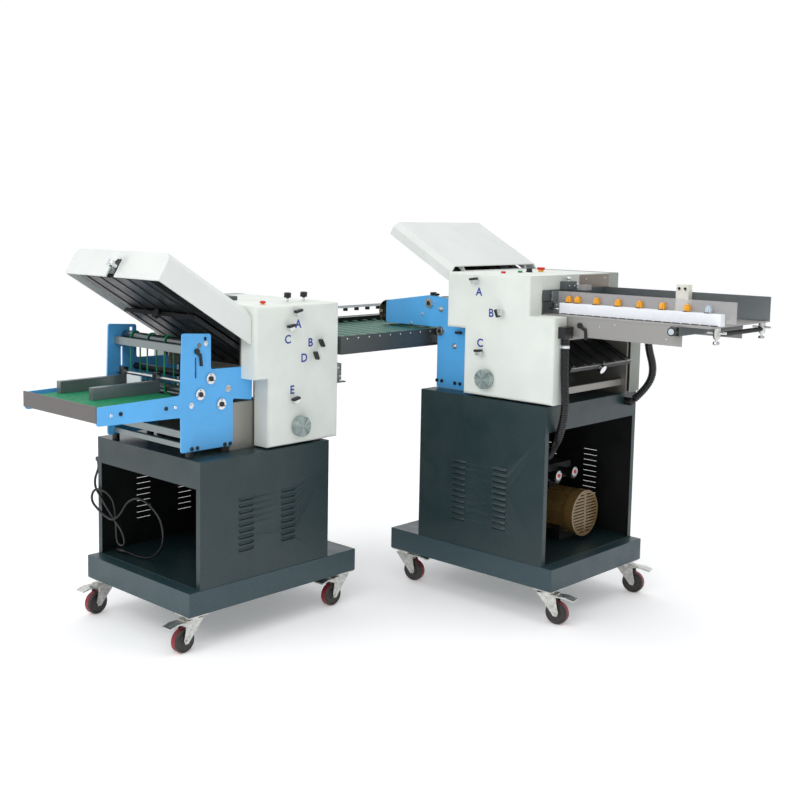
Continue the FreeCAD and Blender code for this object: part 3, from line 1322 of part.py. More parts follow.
def skewed_rod(name, radius, y, length):
    """Rod along X through the table's middle, turned by the table's skew."""
    item = rod(name, radius, (0, 0, 0), length, "x")
    turn = Rotation(Vector(0, 0, 1), -d.table_skew.value)
    item.Placement = Placement(Vector(), turn.multiply(TURNS["x"]))
    half = as_size(length) / 2
    left, right, end = table_sides()
    middle_x = (left + right) / 2
    place(item, (middle_x - half * cosine(d.table_skew), as_size(y) + half * sine(d.table_skew),
                 d.table_top - d.table_roller_radius))
    return item


def transfer_table():
    """Folded sheet frame that carries the skewed rollers' axles, with its docking arms."""
    name = "transfer_table"
    left, right, end = table_sides()
    long = right - left
    deep = end - d.table_start_y
    outer = box(name + "_outer", (left, d.table_start_y, d.table_low), (long, deep, d.table_tall))
    wall = d.table_sheet
    hollow = box(name + "_hollow", (left + wall, d.table_start_y + wall, d.table_low + wall),
                 (long - wall * 2, deep - wall * 2, d.table_tall))
    window = box(name + "_window", (left + 60, d.table_start_y + 60, d.table_low - 1),
                 (long - 120, deep - 120, wall + 2))
    frame = cut(name + "_frame", outer, [hollow, window])
    room = long - wall * 2
    axles = [skewed_rod(f"{name}_axle_{index}", d.table_axle, y, room / cosine(d.table_skew) + 2)
             for index, y in enumerate(table_axes(), start=1)]
    docks = []
    near, rear = blue_starts()
    inner_near = near + d.blue_thick
    for index, y in enumerate((inner_near, rear - 6), start=1):
        docks.append(box(f"{name}_dock_{index}", (right, y, d.table_low + 12), (84, 6, 28)))
    arm_near = frame_start(False) + d.frame_thick
    arm_rear = frame_start(True) - 6
    end_y = d.table_start_y
    for index, v in enumerate((arm_near, arm_rear), start=1):
        x = -d.second_shift_x - v - 6
        docks.append(box(f"{name}_arm_{index}", (x, end_y - 70, d.table_low + 8), (6, 70, 28)))
    return fuse(name, [frame] + axles + docks)


def table_rollers():
    left, right, end = table_sides()
    room = (right - left - d.table_sheet * 2).value
    skew = math.radians(d.table_skew.value)
    length = (room - 2 - d.table_roller_radius.value * 2 * math.sin(skew)) / math.cos(skew) - 4
    rollers = []
    for index, y in enumerate(table_axes(), start=1):
        body = skewed_rod(f"table_roller_body_{index}", d.table_roller_radius, y, length)
        bore = skewed_rod(f"table_roller_bore_{index}", d.table_axle + d.running_fit, y, length + 4)
        rollers.append(cut(f"table_roller_{index}", body, [bore]))
    return group("table_rollers", rollers)


def ball_guide():
    """Cross guide on the transfer table: dark base, ball row under a white strip, clamp knob."""
    name = "ball_guide"
    left = d.ball_guide_x
    start = d.ball_guide_y
    long = d.ball_guide_long
    base = box(name + "_base", (left, start, d.table_top + 2), (36, long, 13))
    foot = box(name + "_foot", (left + 8, d.table_start_y, d.table_top), (20, start + 20 - d.table_start_y, 5))
    strip = box(name + "_strip", (left + 6, start + 5, d.table_top + 50), (24, long - 10, 10))
    posts = [rod(f"{name}_post_{index}", 5, (left + 18, y, d.table_top + 10), 44, "z")
             for index, y in enumerate((start + 14, start + long - 14), start=1)]
    cups = []
    balls = []
    for index in range(int(d.table_balls.value)):
        y = start + 30 + d.table_ball_pitch * index
        cups.append(rod(f"{name}_cup_{index}", 9, (left + 18, y, d.table_top + 38), 16, "z"))
        ball = doc.addObject("Part::Sphere", f"{name}_ball_{index}")
        bind(ball, "Radius", d.table_ball_radius)
        place(ball, (left + 18, y, d.table_top + 38 - d.table_ball_radius + 2))
        balls.append(ball)
    knob = rod(name + "_knob", 11, (left + 18, start - 18, d.table_top + 5), 14, "z")
    body = fuse(name + "_body", [base, foot, strip, knob] + posts + cups)
    return group(name, [cut(name + "_carrier", body, [group(name + "_seats", balls)]), ])


# ---------------------------------------------------------------- the assembly

def build():
    node("plinth_1", plinth(1), 1)
    node("plinth_2", plinth(2), 2)
    node("caster_plates", caster_plates(), 1)
    for unit, heading in ((1, d.first_heading), (2, d.second_heading)):
        for index, (u, v) in enumerate(caster_places(), start=1):
            tag = f"{unit}_{index}"
            fork = caster_fork(f"caster_fork_{tag}")
            node(f"caster_fork_{tag}", stand_caster(fork, unit, u, v, heading), unit)
            wheel = caster_wheel(f"caster_wheel_{tag}")
            node(f"caster_wheel_{tag}", stand_caster(wheel, unit, u, v, heading), unit)
    for unit in (1, 2):
        node(f"cabinet_{unit}", cabinet(unit), unit)
        node(f"side_frames_{unit}", side_frames(unit), unit)
        near_cover = side_cover(f"operator_cover_{unit}", unit, False)
        node(f"operator_cover_{unit}", operator_cover(unit, near_cover), unit)
        node(f"top_panel_{unit}", top_panel(unit), unit)
        node(f"hood_{unit}", hood(unit), unit)
        node(f"fold_plates_{unit}", fold_plates(unit), unit)
        node(f"main_roller_{unit}", main_roller(unit), unit)
        node(f"second_roller_{unit}", second_roller(unit), unit)
        node(f"delivery_frame_{unit}", delivery_frame(unit), unit)
    node("rear_covers", rear_covers(), 1)
    node("hand_knobs", hand_knobs(), 1)
    node("feed_table", feed_table(), 1)
    node("side_guide", side_guide(), 1)
    node("far_guide", far_guide(), 1)
    node("feed_clamp_lever", feed_clamp_lever(), 1)
    node("vacuum_pump", vacuum_pump(), 1)
    node("air_hose_front", group("air_hose_front_stand", [air_hose_front()]), 1)
    node("air_hose_rear", group("air_hose_rear_stand", [air_hose_rear()]), 1)
    node("start_button", push_button("start_button", d.start_v), 1)
    node("stop_button", push_button("stop_button", d.stop_v), 1)
    node("speed_knob", speed_knob(), 1)
    node("emergency_stop", emergency_stop(), 1)
    node("transfer_table", transfer_table(), 1)
    node("table_rollers", table_rollers(), 1)
    node("ball_guide", ball_guide(), 1)
    node("belt_roller", belt_roller(), 2)
    node("round_belts", round_belts(), 2)
    node("conveyor", group("conveyor_stand", [conveyor(), tray_rod()]), 2)
    node("tray_guide_near", tray_guide("tray_guide_near", d.tray_near_v), 2)
    far = blue_starts()[1] - d.tray_far_room - d.tray_guide_wide
    node("tray_guide_far", tray_guide("tray_guide_far", far), 2)
    node("frame_clamp_lever", frame_clamp_lever(), 2)
    node("mains_cord", mains_cord(), 2)


def operator_cover(unit, cover):
    """The first unit's cover also carries the air port block with its clamp ring."""
    if unit == 2:
        return group("operator_cover_2_stand", [cover])
    block = box("port_block", (d.front_port_u, d.front_port_v - 23, d.front_port_z), (26, 46, 37))
    return group("operator_cover_1_stand", [cover, block])


def rear_covers():
    first = side_cover("rear_cover_1", 1, True)
    second = group("rear_cover_2_stand", [side_cover("rear_cover_2", 2, True)])
    second.Placement = Placement(Vector(), Rotation(Vector(0, 0, 1), 90))
    place(second, (-d.second_shift_x, -d.second_shift_y, 0))
    return group("rear_covers", [first, second])


def faults(item):
    """What is wrong with a sub-part that did not come out as sound solids."""
    shape = item.Shape
    if shape.isNull() or not shape.Solids:
        return [f"{item.Label} is empty"]
    if not shape.isValid():
        return [f"{item.Label} is not valid"]
    return []


build()
doc.recompute()
found = [f"{item.Name} has a failed state" for item in doc.Objects
         if "Invalid" in item.State or "Error" in item.State]
for item in nodes:
    found += faults(item)
if found:
    raise RuntimeError("; ".join(found))
os.makedirs("parts", exist_ok=True)
for item in nodes:
    item.Shape.exportStep(os.path.join("parts", f"{item.Label}.step"))
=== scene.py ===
import json
import math

import bmesh
import bpy
from mathutils import Matrix, Vector

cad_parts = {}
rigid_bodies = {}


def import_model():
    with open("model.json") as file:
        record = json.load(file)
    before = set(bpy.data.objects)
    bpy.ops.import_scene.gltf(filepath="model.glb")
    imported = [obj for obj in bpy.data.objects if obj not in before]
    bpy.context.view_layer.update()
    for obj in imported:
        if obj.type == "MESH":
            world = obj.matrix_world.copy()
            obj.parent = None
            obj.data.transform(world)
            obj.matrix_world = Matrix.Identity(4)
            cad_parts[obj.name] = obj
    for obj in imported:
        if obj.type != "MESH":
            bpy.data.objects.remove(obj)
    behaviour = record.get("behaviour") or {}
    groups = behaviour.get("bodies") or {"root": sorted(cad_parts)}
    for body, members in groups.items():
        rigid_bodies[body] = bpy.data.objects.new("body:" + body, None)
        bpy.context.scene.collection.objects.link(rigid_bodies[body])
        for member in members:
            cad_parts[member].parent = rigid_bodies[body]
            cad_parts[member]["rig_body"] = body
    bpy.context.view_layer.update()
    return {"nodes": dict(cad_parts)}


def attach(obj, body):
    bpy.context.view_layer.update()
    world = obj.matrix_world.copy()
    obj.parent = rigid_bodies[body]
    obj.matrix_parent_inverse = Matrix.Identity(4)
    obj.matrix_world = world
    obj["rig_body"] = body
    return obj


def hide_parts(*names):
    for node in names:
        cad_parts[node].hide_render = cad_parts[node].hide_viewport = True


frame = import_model()
MM = 0.001

# Each unit has its own frame in millimetres: U against the paper's flow, V from the operator's
# side to the rear and Z up from the floor, as in the CAD part. 0 is the model's own frame.
FIRST = (322.5, 355.0)
SECOND = (-283.5, 65.0)
UNITS = {
    0: Matrix.Scale(MM, 4),
    1: Matrix.Scale(MM, 4) @ Matrix.Translation((FIRST[0], FIRST[1], 0)),
    2: (Matrix.Scale(MM, 4) @ Matrix.Translation((SECOND[0], SECOND[1], 0))
        @ Matrix.Rotation(math.pi / 2, 4, "Z")),
}


def at(unit, u, v, z):
    """A place in a unit's frame, as a point of the model in metres."""
    return UNITS[unit] @ Vector((u, v, z))


# ---------------------------------------------------------------- materials

def linear(rgb):
    """A screen colour from 0 to 255 as the linear colour that the shaders take."""
    out = []
    for part in rgb:
        part /= 255
        out.append(part / 12.92 if part <= 0.04045 else ((part + 0.055) / 1.055) ** 2.4)
    return (*out, 1.0)


class Shader:
    """A principled material with helpers for its procedural detail."""

    def __init__(self, name, rough, metal=0.0, coat=0.0, specular=0.5):
        self.material = bpy.data.materials.new(name)
        self.material.use_nodes = True
        self.tree = self.material.node_tree
        self.shader = self.tree.nodes["Principled BSDF"]
        self.shader.inputs["Roughness"].default_value = rough
        self.shader.inputs["Metallic"].default_value = metal
        self.shader.inputs["Coat Weight"].default_value = coat
        self.shader.inputs["Coat Roughness"].default_value = 0.15
        self.shader.inputs["Specular IOR Level"].default_value = specular
        self.place = self.tree.nodes.new("ShaderNodeTexCoord").outputs["Object"]

    def join(self, a, b):
        self.tree.links.new(a, b)

    def noise(self, scale, detail=3.0, stretch=(1, 1, 1)):
        """Cloudy noise from 0 to 1, scale in features for each metre."""
        mapping = self.tree.nodes.new("ShaderNodeMapping")
        mapping.inputs["Scale"].default_value = stretch
        self.join(self.place, mapping.inputs["Vector"])
        node = self.tree.nodes.new("ShaderNodeTexNoise")
        node.inputs["Scale"].default_value = scale
        node.inputs["Detail"].default_value = detail
        self.join(mapping.outputs["Vector"], node.inputs["Vector"])
        return node.outputs["Fac"]

    def cells(self, scale):
        """Rounded cells, for a hammered or granular finish."""
        node = self.tree.nodes.new("ShaderNodeTexVoronoi")
        node.feature = "SMOOTH_F1"
        node.inputs["Scale"].default_value = scale
        node.inputs["Smoothness"].default_value = 0.6
        self.join(self.place, node.inputs["Vector"])
        return node.outputs["Distance"]

    def spread(self, value, low, high):
        """The value mapped from noise's usual 0.3..0.7 to low..high."""
        node = self.tree.nodes.new("ShaderNodeMapRange")
        for name, number in (("From Min", 0.3), ("From Max", 0.7), ("To Min", low), ("To Max", high)):
            node.inputs[name].default_value = number
        self.join(value, node.inputs["Value"])
        return node.outputs["Result"]

    def mix(self, value, first, second, start=0.35, end=0.65):
        """A colour between two, by the value."""
        ramp = self.tree.nodes.new("ShaderNodeValToRGB")
        ramp.color_ramp.elements[0].position = start
        ramp.color_ramp.elements[0].color = first
        ramp.color_ramp.elements[1].position = end
        ramp.color_ramp.elements[1].color = second
        self.join(value, ramp.inputs["Fac"])
        return ramp.outputs["Color"]

    def colour(self, output):
        self.join(output, self.shader.inputs["Base Color"])

    def rough(self, output):
        self.join(output, self.shader.inputs["Roughness"])

    def bump(self, height, distance, strength=1.0):
        node = self.tree.nodes.new("ShaderNodeBump")
        node.inputs["Distance"].default_value = distance
        node.inputs["Strength"].default_value = strength
        self.join(height, node.inputs["Height"])
        self.join(node.outputs["Normal"], self.shader.inputs["Normal"])


def shade(rgb, factor):
    return linear([min(255, part * factor) for part in rgb])


def paint(name, rgb, rough=0.4, grain=900.0, depth=0.00012, coat=0.0, vary=0.035, specular=0.5):
    """Sprayed paint: fine orange peel, and slow variation of its colour and gloss."""
    made = Shader(name, rough, coat=coat, specular=specular)
    slow = made.noise(7.0, 4.0)
    made.colour(made.mix(slow, shade(rgb, 1 - vary), shade(rgb, 1 + vary)))
    made.rough(made.spread(made.noise(23.0, 5.0), rough - 0.06, rough + 0.08))
    made.bump(made.noise(grain, 2.0), depth)
    return made.material


def hammered(name, rgb, rough=0.38, scale=260.0, depth=0.0006):
    """Hammer-tone powder coat: shallow round cells with darker valleys."""
    made = Shader(name, rough, coat=0.1)
    cell = made.cells(scale)
    speck = made.noise(scale * 1.7, 2.0)
    made.colour(made.mix(speck, shade(rgb, 0.82), shade(rgb, 1.16)))
    made.rough(made.spread(made.noise(12.0, 4.0), rough - 0.08, rough + 0.1))
    made.bump(cell, depth, 0.55)
    return made.material


def metal(name, rgb, rough=0.3, brush=None, vary=0.08, weight=1.0):
    """Bare or plated metal; brush stretches its streaks along an axis."""
    made = Shader(name, rough, metal=weight)
    stretch = brush or (1, 1, 1)
    streak = made.noise(420.0 if brush else 90.0, 4.0, stretch)
    made.colour(made.mix(streak, shade(rgb, 1 - vary), shade(rgb, 1 + vary)))
    made.rough(made.spread(made.noise(260.0 if brush else 40.0, 3.0, stretch), rough - 0.08, rough + 0.1))
    made.bump(streak, 0.00004, 0.6)
    return made.material


def plastic(name, rgb, rough=0.35, grain=1500.0, depth=0.00005, vary=0.04, specular=0.5):
    """Moulded plastic or rubber with a faint spark-eroded grain."""
    made = Shader(name, rough, specular=specular)
    made.colour(made.mix(made.noise(60.0, 3.0), shade(rgb, 1 - vary), shade(rgb, 1 + vary)))
    made.rough(made.spread(made.noise(140.0, 2.0), rough - 0.05, rough + 0.07))
    made.bump(made.noise(grain, 2.0), depth)
    return made.material


def turned_metal(name, rgb, unit, u, z, rough=0.3):
    """Lathe-turned face of a handwheel: painted highlight and shade in bright and dark sectors about its
    axis, standing in for the sheen of the turned metal, over fine rings.
    """
    made = Shader(name, rough, metal=0.75)
    centre = at(unit, u, 0, z)
    mapping = made.tree.nodes.new("ShaderNodeMapping")
    mapping.vector_type = "TEXTURE"
    mapping.inputs["Location"].default_value = centre
    mapping.inputs["Rotation"].default_value = ((math.pi / 2, 0, 0) if unit == 1 else (0, math.pi / 2, 0))
    made.join(made.place, mapping.inputs["Vector"])
    ray = made.tree.nodes.new("ShaderNodeTexGradient")
    ray.gradient_type = "RADIAL"
    made.join(mapping.outputs["Vector"], ray.inputs["Vector"])
    painted_sheen = made.tree.nodes.new("ShaderNodeTexNoise")
    painted_sheen.noise_dimensions = "1D"
    painted_sheen.inputs["Scale"].default_value = 9.0
    painted_sheen.inputs["Detail"].default_value = 4.0
    made.join(ray.outputs["Fac"], painted_sheen.inputs["W"])
    # Painted highlight and shade: bright and dark sectors in the base colour stand for the sheen of the
    # turned face.
    made.colour(made.mix(painted_sheen.outputs["Fac"], shade(rgb, 0.84), shade(rgb, 1.14), 0.36, 0.64))
    made.rough(made.spread(painted_sheen.outputs["Fac"], rough - 0.08, rough + 0.1))
    rings = made.tree.nodes.new("ShaderNodeTexWave")
    rings.wave_type = "RINGS"
    rings.rings_direction = "Z"
    rings.inputs["Scale"].default_value = 260.0
    made.join(mapping.outputs["Vector"], rings.inputs["Vector"])
    made.bump(rings.outputs["Fac"], 0.00005, 0.5)
    return made.material


def clear(name, rgb, rough=0.1):
    """Clear acrylic with a few fine scratches, seen through for the most part."""
    made = Shader(name, rough)
    made.shader.inputs["Alpha"].default_value = 0.42
    made.shader.inputs["Base Color"].default_value = linear(rgb)
    made.rough(made.spread(made.noise(300.0, 3.0, (1, 8, 1)), rough - 0.04, rough + 0.08))
    return made.material


CREAM = paint("cream_paint", (220, 225, 219), 0.55, 620.0, 0.0006, vary=0.02, specular=0.35)
HOOD = paint("hood_paint", (216, 220, 217), 0.4, 1100.0, 0.00015, vary=0.012, specular=0.4)
SLATE = hammered("slate_paint", (28, 48, 51))
# Near-black painted shade for the cabinets' insides and the flaps behind their louvres, in place of the shade
# that falls inside them.
SLATE_PAINTED_SHADE = hammered("cabinet_inside_painted_shade", (7, 10, 10), 0.6)
PLINTH = hammered("plinth_paint", (42, 66, 73))
BLUE = paint("blue_paint", (82, 170, 232), 0.36, 900.0, 0.0003, coat=0.15, vary=0.025)
ZINC = metal("zinc_plate", (200, 200, 196), 0.3)
CHROME = metal("chrome", (222, 224, 226), 0.14, vary=0.03)
STEEL = metal("ground_steel", (150, 148, 142), 0.38, (1, 30, 30), weight=0.6)
ROLLER = metal("roller_steel", (120, 126, 128), 0.28, (30, 1, 30))
STAINLESS = metal("stainless_panel", (132, 124, 114), 0.34, (30, 1, 30), weight=0.6)
SHEET = metal("feed_sheet", (158, 156, 153), 0.42, (1, 22, 22), weight=0.55)
ALUMINIUM = metal("aluminium", (186, 188, 188), 0.36, (1, 25, 25), weight=0.8)
GALVANISED = metal("galvanised", (116, 122, 123), 0.34, (30, 1.5, 30), vary=0.4, weight=0.6)
DARK_RAIL = metal("dark_rail", (104, 110, 112), 0.4, (1, 25, 25), weight=0.4)
DARK_PLATE = paint("dark_plate", (76, 84, 86), 0.45, 900.0, 0.0001, vary=0.05)
WHEEL_DISC_1 = turned_metal("handwheel_disc_1", (160, 174, 172), 1, -291, 784)
WHEEL_DISC_2 = turned_metal("handwheel_disc_2", (158, 172, 170), 2, -263, 647)
BRASS = metal("nose_strip", (150, 144, 118), 0.3, (30, 1, 30), vary=0.2)
BLACK_SHEET = paint("black_sheet", (20, 23, 25), 0.4, 900.0, 0.0001, vary=0.1)
BLACK = plastic("black_plastic", (19, 20, 22), 0.34)
RUBBER = plastic("black_rubber", (12, 12, 13), 0.42, 900.0, 0.0001)
HOSE = plastic("hose_rubber", (25, 26, 28), 0.22, 900.0, 0.0001)
RED_TREAD = plastic("red_tread", (132, 20, 36), 0.42, 900.0, 0.00008, vary=0.08)
WHEEL_CORE = plastic("wheel_core", (52, 50, 48), 0.45)
RED = plastic("red_cap", (206, 32, 26), 0.28)
GREEN = plastic("green_cap", (24, 138, 72), 0.28)
YELLOW = plastic("yellow_holder", (238, 168, 40), 0.35)
WHITE = plastic("white_strip", (240, 243, 249), 0.32, vary=0.008)
BEIGE = plastic("beige_weight", (255, 251, 238), 0.45)
GREEN_BELT = plastic("green_belt", (12, 134, 84), 0.4, 700.0, 0.0001)
BELT_FELT = plastic("conveyor_belt", (20, 136, 92), 0.65, 1400.0, 0.0003, vary=0.1)
TABLE = metal("table_sheet", (84, 88, 88), 0.4, (1, 1, 25), weight=0.5)
# Steel grey with a green tint that is a painted reflection of green surroundings mirrored in the rollers.
TABLE_ROLLER_PAINTED_REFLECTION = metal("table_roller", (58, 106, 90), 0.34, (1, 30, 30), weight=0.6)
GOLD = paint("motor_gold", (116, 92, 52), 0.3, 500.0, 0.0002, coat=0.3, vary=0.06)
PUMP_BLACK = paint("pump_black", (28, 30, 32), 0.4, 600.0, 0.0003)
CLEAR = clear("clear_acrylic", (196, 194, 194))
# Cream in painted shade: a darker copy of the cover paint for the rear covers' faces past the rear plates,
# where shade falls.
SHADED = paint("cover_painted_shade", (156, 162, 155), 0.6, 700.0, 0.0002)
TRAY_END = metal("tray_end", (104, 101, 99), 0.36, (1, 30, 30), weight=0.5)
TIE = metal("tie_bar", (140, 148, 148), 0.36, (1, 25, 25), weight=0.7)
INK = plastic("blue_letter", (14, 52, 150), 0.4)
CAP = plastic("pale_cap", (190, 204, 214), 0.3)
STAGE = paint("floor", (250, 250, 251), 0.8, 60.0, 0.0001, vary=0.002, specular=0.1)


# ---------------------------------------------------------------- dressing the CAD nodes

FAR = 3000.0  # beyond the object on every side
NEAR_PLATE = (77.0, 83.0)  # the two faces of a unit's blue side plates, along V
REAR_PLATE = (469.0, 475.0)
BETWEEN_PLATES = (82.8, 469.2)
PLATE_THICK = NEAR_PLATE[1] - NEAR_PLATE[0]
PLATE_CORNER = 7.0
RAIL_TIP_U, RAIL_SET_BACK = -900.0, 48.0
REGION_SLACK = 0.4  # how far a face may reach out of its region
TREAD_HALF_WIDE = 7.5
WHEEL_CORE_REACH = 33.5
SMOOTH_ANGLE, SOFTEN_ANGLE = 35.0, 32.0


def finish_mesh(target):
    """Smooth shading that stops at sharp edges."""
    for face in target.polygons:
        face.use_smooth = True
    target.set_sharp_from_angle(angle=math.radians(SMOOTH_ANGLE))


def soften(item, width):
    """Bevel the sharp edges by a width in millimetres."""
    bevel = item.modifiers.new("edges", "BEVEL")
    bevel.width = width * MM
    bevel.segments = 2
    bevel.limit_method = "ANGLE"
    bevel.angle_limit = math.radians(SOFTEN_ANGLE)
    bevel.harden_normals = True


def round_outline(form, unit, thick, radius):
    """Round the outline corners of the plates that stand across a unit."""
    across = (UNITS[unit].to_3x3() @ Vector((0, 1, 0))).normalized()
    thick_slack, parallel, sharp = 0.3, 0.999, 0.4
    least_area = 2.4 * radius * MM * thick * MM
    chosen = []
    for edge in form.edges:
        span = edge.verts[1].co - edge.verts[0].co
        if abs(span.length / MM - thick) > thick_slack or abs(span.normalized().dot(across)) < parallel:
            continue
        if len(edge.link_faces) == 2 and edge.calc_face_angle(0) > sharp:
            if all(face.calc_area() > least_area for face in edge.link_faces):
                chosen.append(edge)
    bmesh.ops.bevel(form, geom=chosen, offset=radius * MM, segments=4, profile=0.5, affect="EDGES")


def set_back(form, unit, low_u, by):
    """Bring the outer end of a rail back along the unit."""
    back = UNITS[unit].inverted()
    step = UNITS[unit].to_3x3() @ Vector((by, 0, 0))
    for vertex in form.verts:
        if (back @ vertex.co).x < low_u:
            vertex.co += step


def dress(node, base, regions=(), bevel=0.7, core=None):
    """Stand for a CAD node with its own solids, edges softened, and a material for each region.
    A region is a material, a unit, and the lowest and highest corner in it of what is covered.
    The core is the material of what lies close round the middle of a wheel, and its reach."""
    source = frame["nodes"][node]
    form = bmesh.new()
    form.from_mesh(source.data)
    bmesh.ops.remove_doubles(form, verts=form.verts, dist=0.000002)
    bmesh.ops.dissolve_limit(form, angle_limit=math.radians(1.0), verts=form.verts, edges=form.edges)
    if node.startswith("delivery_frame"):
        round_outline(form, int(node[-1]), PLATE_THICK, PLATE_CORNER)
    if node.startswith("tray_guide"):
        set_back(form, 2, RAIL_TIP_U, RAIL_SET_BACK)
    target = bpy.data.meshes.new(node + "_dressed")
    target.materials.append(base)
    for face in form.faces:
        face.material_index = 0
    for index, (material, unit, low, high) in enumerate(regions, start=1):
        target.materials.append(material)
        back = UNITS[unit].inverted()
        for face in form.faces:
            places = [back @ vertex.co for vertex in face.verts]
            if face.material_index == 0 and all(
                    low[axis] - REGION_SLACK <= place[axis] <= high[axis] + REGION_SLACK
                    for place in places for axis in range(3)):
                face.material_index = index
    if core:
        target.materials.append(core[0])
        middle = sum((vertex.co for vertex in form.verts), Vector()) / len(form.verts)
        axle = max(form.faces, key=lambda face: face.calc_area()).normal.copy()
        for face in form.faces:
            offset = face.calc_center_median() - middle
            along = abs(offset.dot(axle))
            if along > TREAD_HALF_WIDE * MM or (offset - axle * offset.dot(axle)).length < core[1] * MM:
                face.material_index = len(target.materials) - 1
    form.to_mesh(target)
    form.free()
    finish_mesh(target)
    item = bpy.data.objects.new(node + "_dressed", target)
    bpy.context.scene.collection.objects.link(item)
    if bevel:
        soften(item, bevel)
    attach(item, source["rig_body"])
    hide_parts(node)


def region(material, unit, u=(-FAR, FAR), v=(-FAR, FAR), z=(-FAR, FAR)):
    return material, unit, (u[0], v[0], z[0]), (u[1], v[1], z[1])


def round_place(material, unit, u, z, reach, v=(-FAR, FAR)):
    """The region close round an axis that runs from side to side."""
    return region(material, unit, (u - reach, u + reach), v, (z - reach, z + reach))


def frame_regions(unit, shafts, ties):
    """Bearings and shaft ends outside the painted plates, then the shafts and bars between them."""
    end_reach, bearing_reach, shaft_reach, tie_reach = 8.5, 17.5, 15.5, 12.5
    made = []
    for u, z, body in shafts:
        made.append(round_place(BLACK, unit, u, z, end_reach, (60, 69.2)))
        made.append(round_place(BLACK, unit, u, z, end_reach, (482.8, 490)))
        made.append(round_place(CHROME, unit, u, z, bearing_reach, (68.8, NEAR_PLATE[0])))
        made.append(round_place(CHROME, unit, u, z, bearing_reach, (REAR_PLATE[1], 483.2)))
        made.append(round_place(body, unit, u, z, shaft_reach))
    for u, z in ties:
        made.append(round_place(TIE, unit, u, z, tie_reach, BETWEEN_PLATES))
    return made


FIRST_FRAME = frame_regions(1, ((-608, 1017, ROLLER), (-553, 921, ROLLER)),
                            ((-562, 744), (-470, 744), (-696, 950)))
FIRST_FRAME.append(region(BRASS, 1, (-868, -808), BETWEEN_PLATES, (926, 1020)))
SECOND_FRAME = frame_regions(
    2, ((-610, 925, ROLLER), (-610, 776, ROLLER), (-570, 821, RUBBER), (-528, 738, RUBBER)),
    ((-645, 616), (-518, 616), (-646, 912), (-646, 651)))
SECOND_FRAME.append(region(RUBBER, 2, z=(583, 602)))

# What each node is made of, by the start of its name: its main material, its regions and the
# width of its softened edges.
LOOKS = {
    "plinth": (PLINTH, (), 1.5),
    # The cabinets' insides take the near-black painted shade.
    "cabinet_1": (SLATE, (region(SLATE_PAINTED_SHADE, 1, (-574, -43), (4, 548), (192, 714)),
                          region(RUBBER, 1, (-42, 0), (460, 500), (670, 710))), 1.0),
    "cabinet_2": (SLATE, (region(SLATE_PAINTED_SHADE, 2, (-663, -132), (4, 548), (192, 580)),), 1.0),
    "caster": (ZINC, (), 0.6),
    "operator_cover_1": (CREAM, (region(BLACK, 1, (-26, 1), (29, 77), (940, 979)),), 0),
    "operator_cover_2": (CREAM, (), 0),
    # The rear covers' faces past the rear plates take the cream in painted shade.
    "rear_covers": (CREAM, (region(SHADED, 1, v=(474.8, 545.2)), region(SHADED, 2, v=(474.8, 545.2))), 0),
    "top_panel_1": (CREAM, (region(ZINC, 1, (-480, -468.6), z=(1130, 1142)),), 0.4),
    "top_panel_2": (CREAM, (region(ZINC, 2, (-460, -443.6), z=(1010, 1040)),), 0.4),
    "hood": (HOOD, (), 1.2),
    "side_frames_1": (STEEL, (region(ROLLER, 1, (-314, -268), z=(840, 1040)),), 0.6),
    "side_frames_2": (STEEL, (region(ROLLER, 2, (-286, -240), z=(700, 900)),), 0.6),
    "fold_plates": (BLACK_SHEET, (region(CHROME, 1, (-26, 6), (255, 297), (802, 836)),), 0.5),
    "main_roller": (ROLLER, (region(WHEEL_DISC_1, 1, (-330, -250), (-20, 3), (740, 830)),
                             region(WHEEL_DISC_2, 2, (-300, -220), (-20, 3), (600, 690))), 1.0),
    "second_roller": (ROLLER, (), 0.5),
    "belt_roller": (ROLLER, (), 0.5),
    "delivery_frame_1": (BLUE, FIRST_FRAME, 0.6),
    "delivery_frame_2": (BLUE, SECOND_FRAME, 0.6),
    "hand_knobs": (CHROME, (region(BLACK, 2, (-240, -130), (90, 130), (1052.6, 1063)),), 1.6),
    "speed_knob": (BLACK, (), 0.8),
    "feed_clamp": (BLACK, (), 1.2),
    "frame_clamp": (BLACK, (), 1.2),
    "feed_table": (SHEET, (
        region(CHROME, 1, (424, 486), (140, 460), (960, 1007)),
        region(BLACK, 1, (340, 392), (38, 60.2), (960, 1010)),
        region(DARK_PLATE, 1, (351, 381), z=(979.8, 1007.2)),
        region(BLACK, 1, (14, 46), (472, 512), (924, 956))), 0.6),
    "far_guide": (DARK_RAIL, (region(BEIGE, 1, (163, 211), (420, 450), (1015, 1120)),), 0.8),
    "vacuum_pump": (PUMP_BLACK, (
        region(BLACK, 1, (-178, -150), (220, 380), (400, 480)),
        region(GOLD, 1, (-306, -118), (280, 460), (205, 380))), 0.7),
    "start_button": (GREEN, (), 0.8),
    "stop_button": (RED, (), 0.8),
    "emergency_stop": (RED, (region(YELLOW, 1, z=(1100, 1142.8)),), 1.8),
    "transfer_table": (TABLE, (), 0.6),
    "table_rollers": (TABLE_ROLLER_PAINTED_REFLECTION, (), 0.8),
    "ball_guide": (BLACK, (region(WHITE, 0, z=(974.8, 986)),), 0.6),
    "round_belts": (GREEN_BELT, (), 0),
    "conveyor": (GALVANISED, (
        region(BELT_FELT, 2, (-956, -639), (99.8, 452.2), (744, 766)),
        region(WHITE, 2, (-669, -662), (299, 376), (764.8, 812)),
        region(CHROME, 2, (-647, -633), BETWEEN_PLATES, (805, 819)),
        region(TRAY_END, 2, (-976, -970.8))), 0.5),
    "tray_guide": (GALVANISED, (region(BLACK, 2, (-655, -632), z=(795, 830)),), 0.8),
}


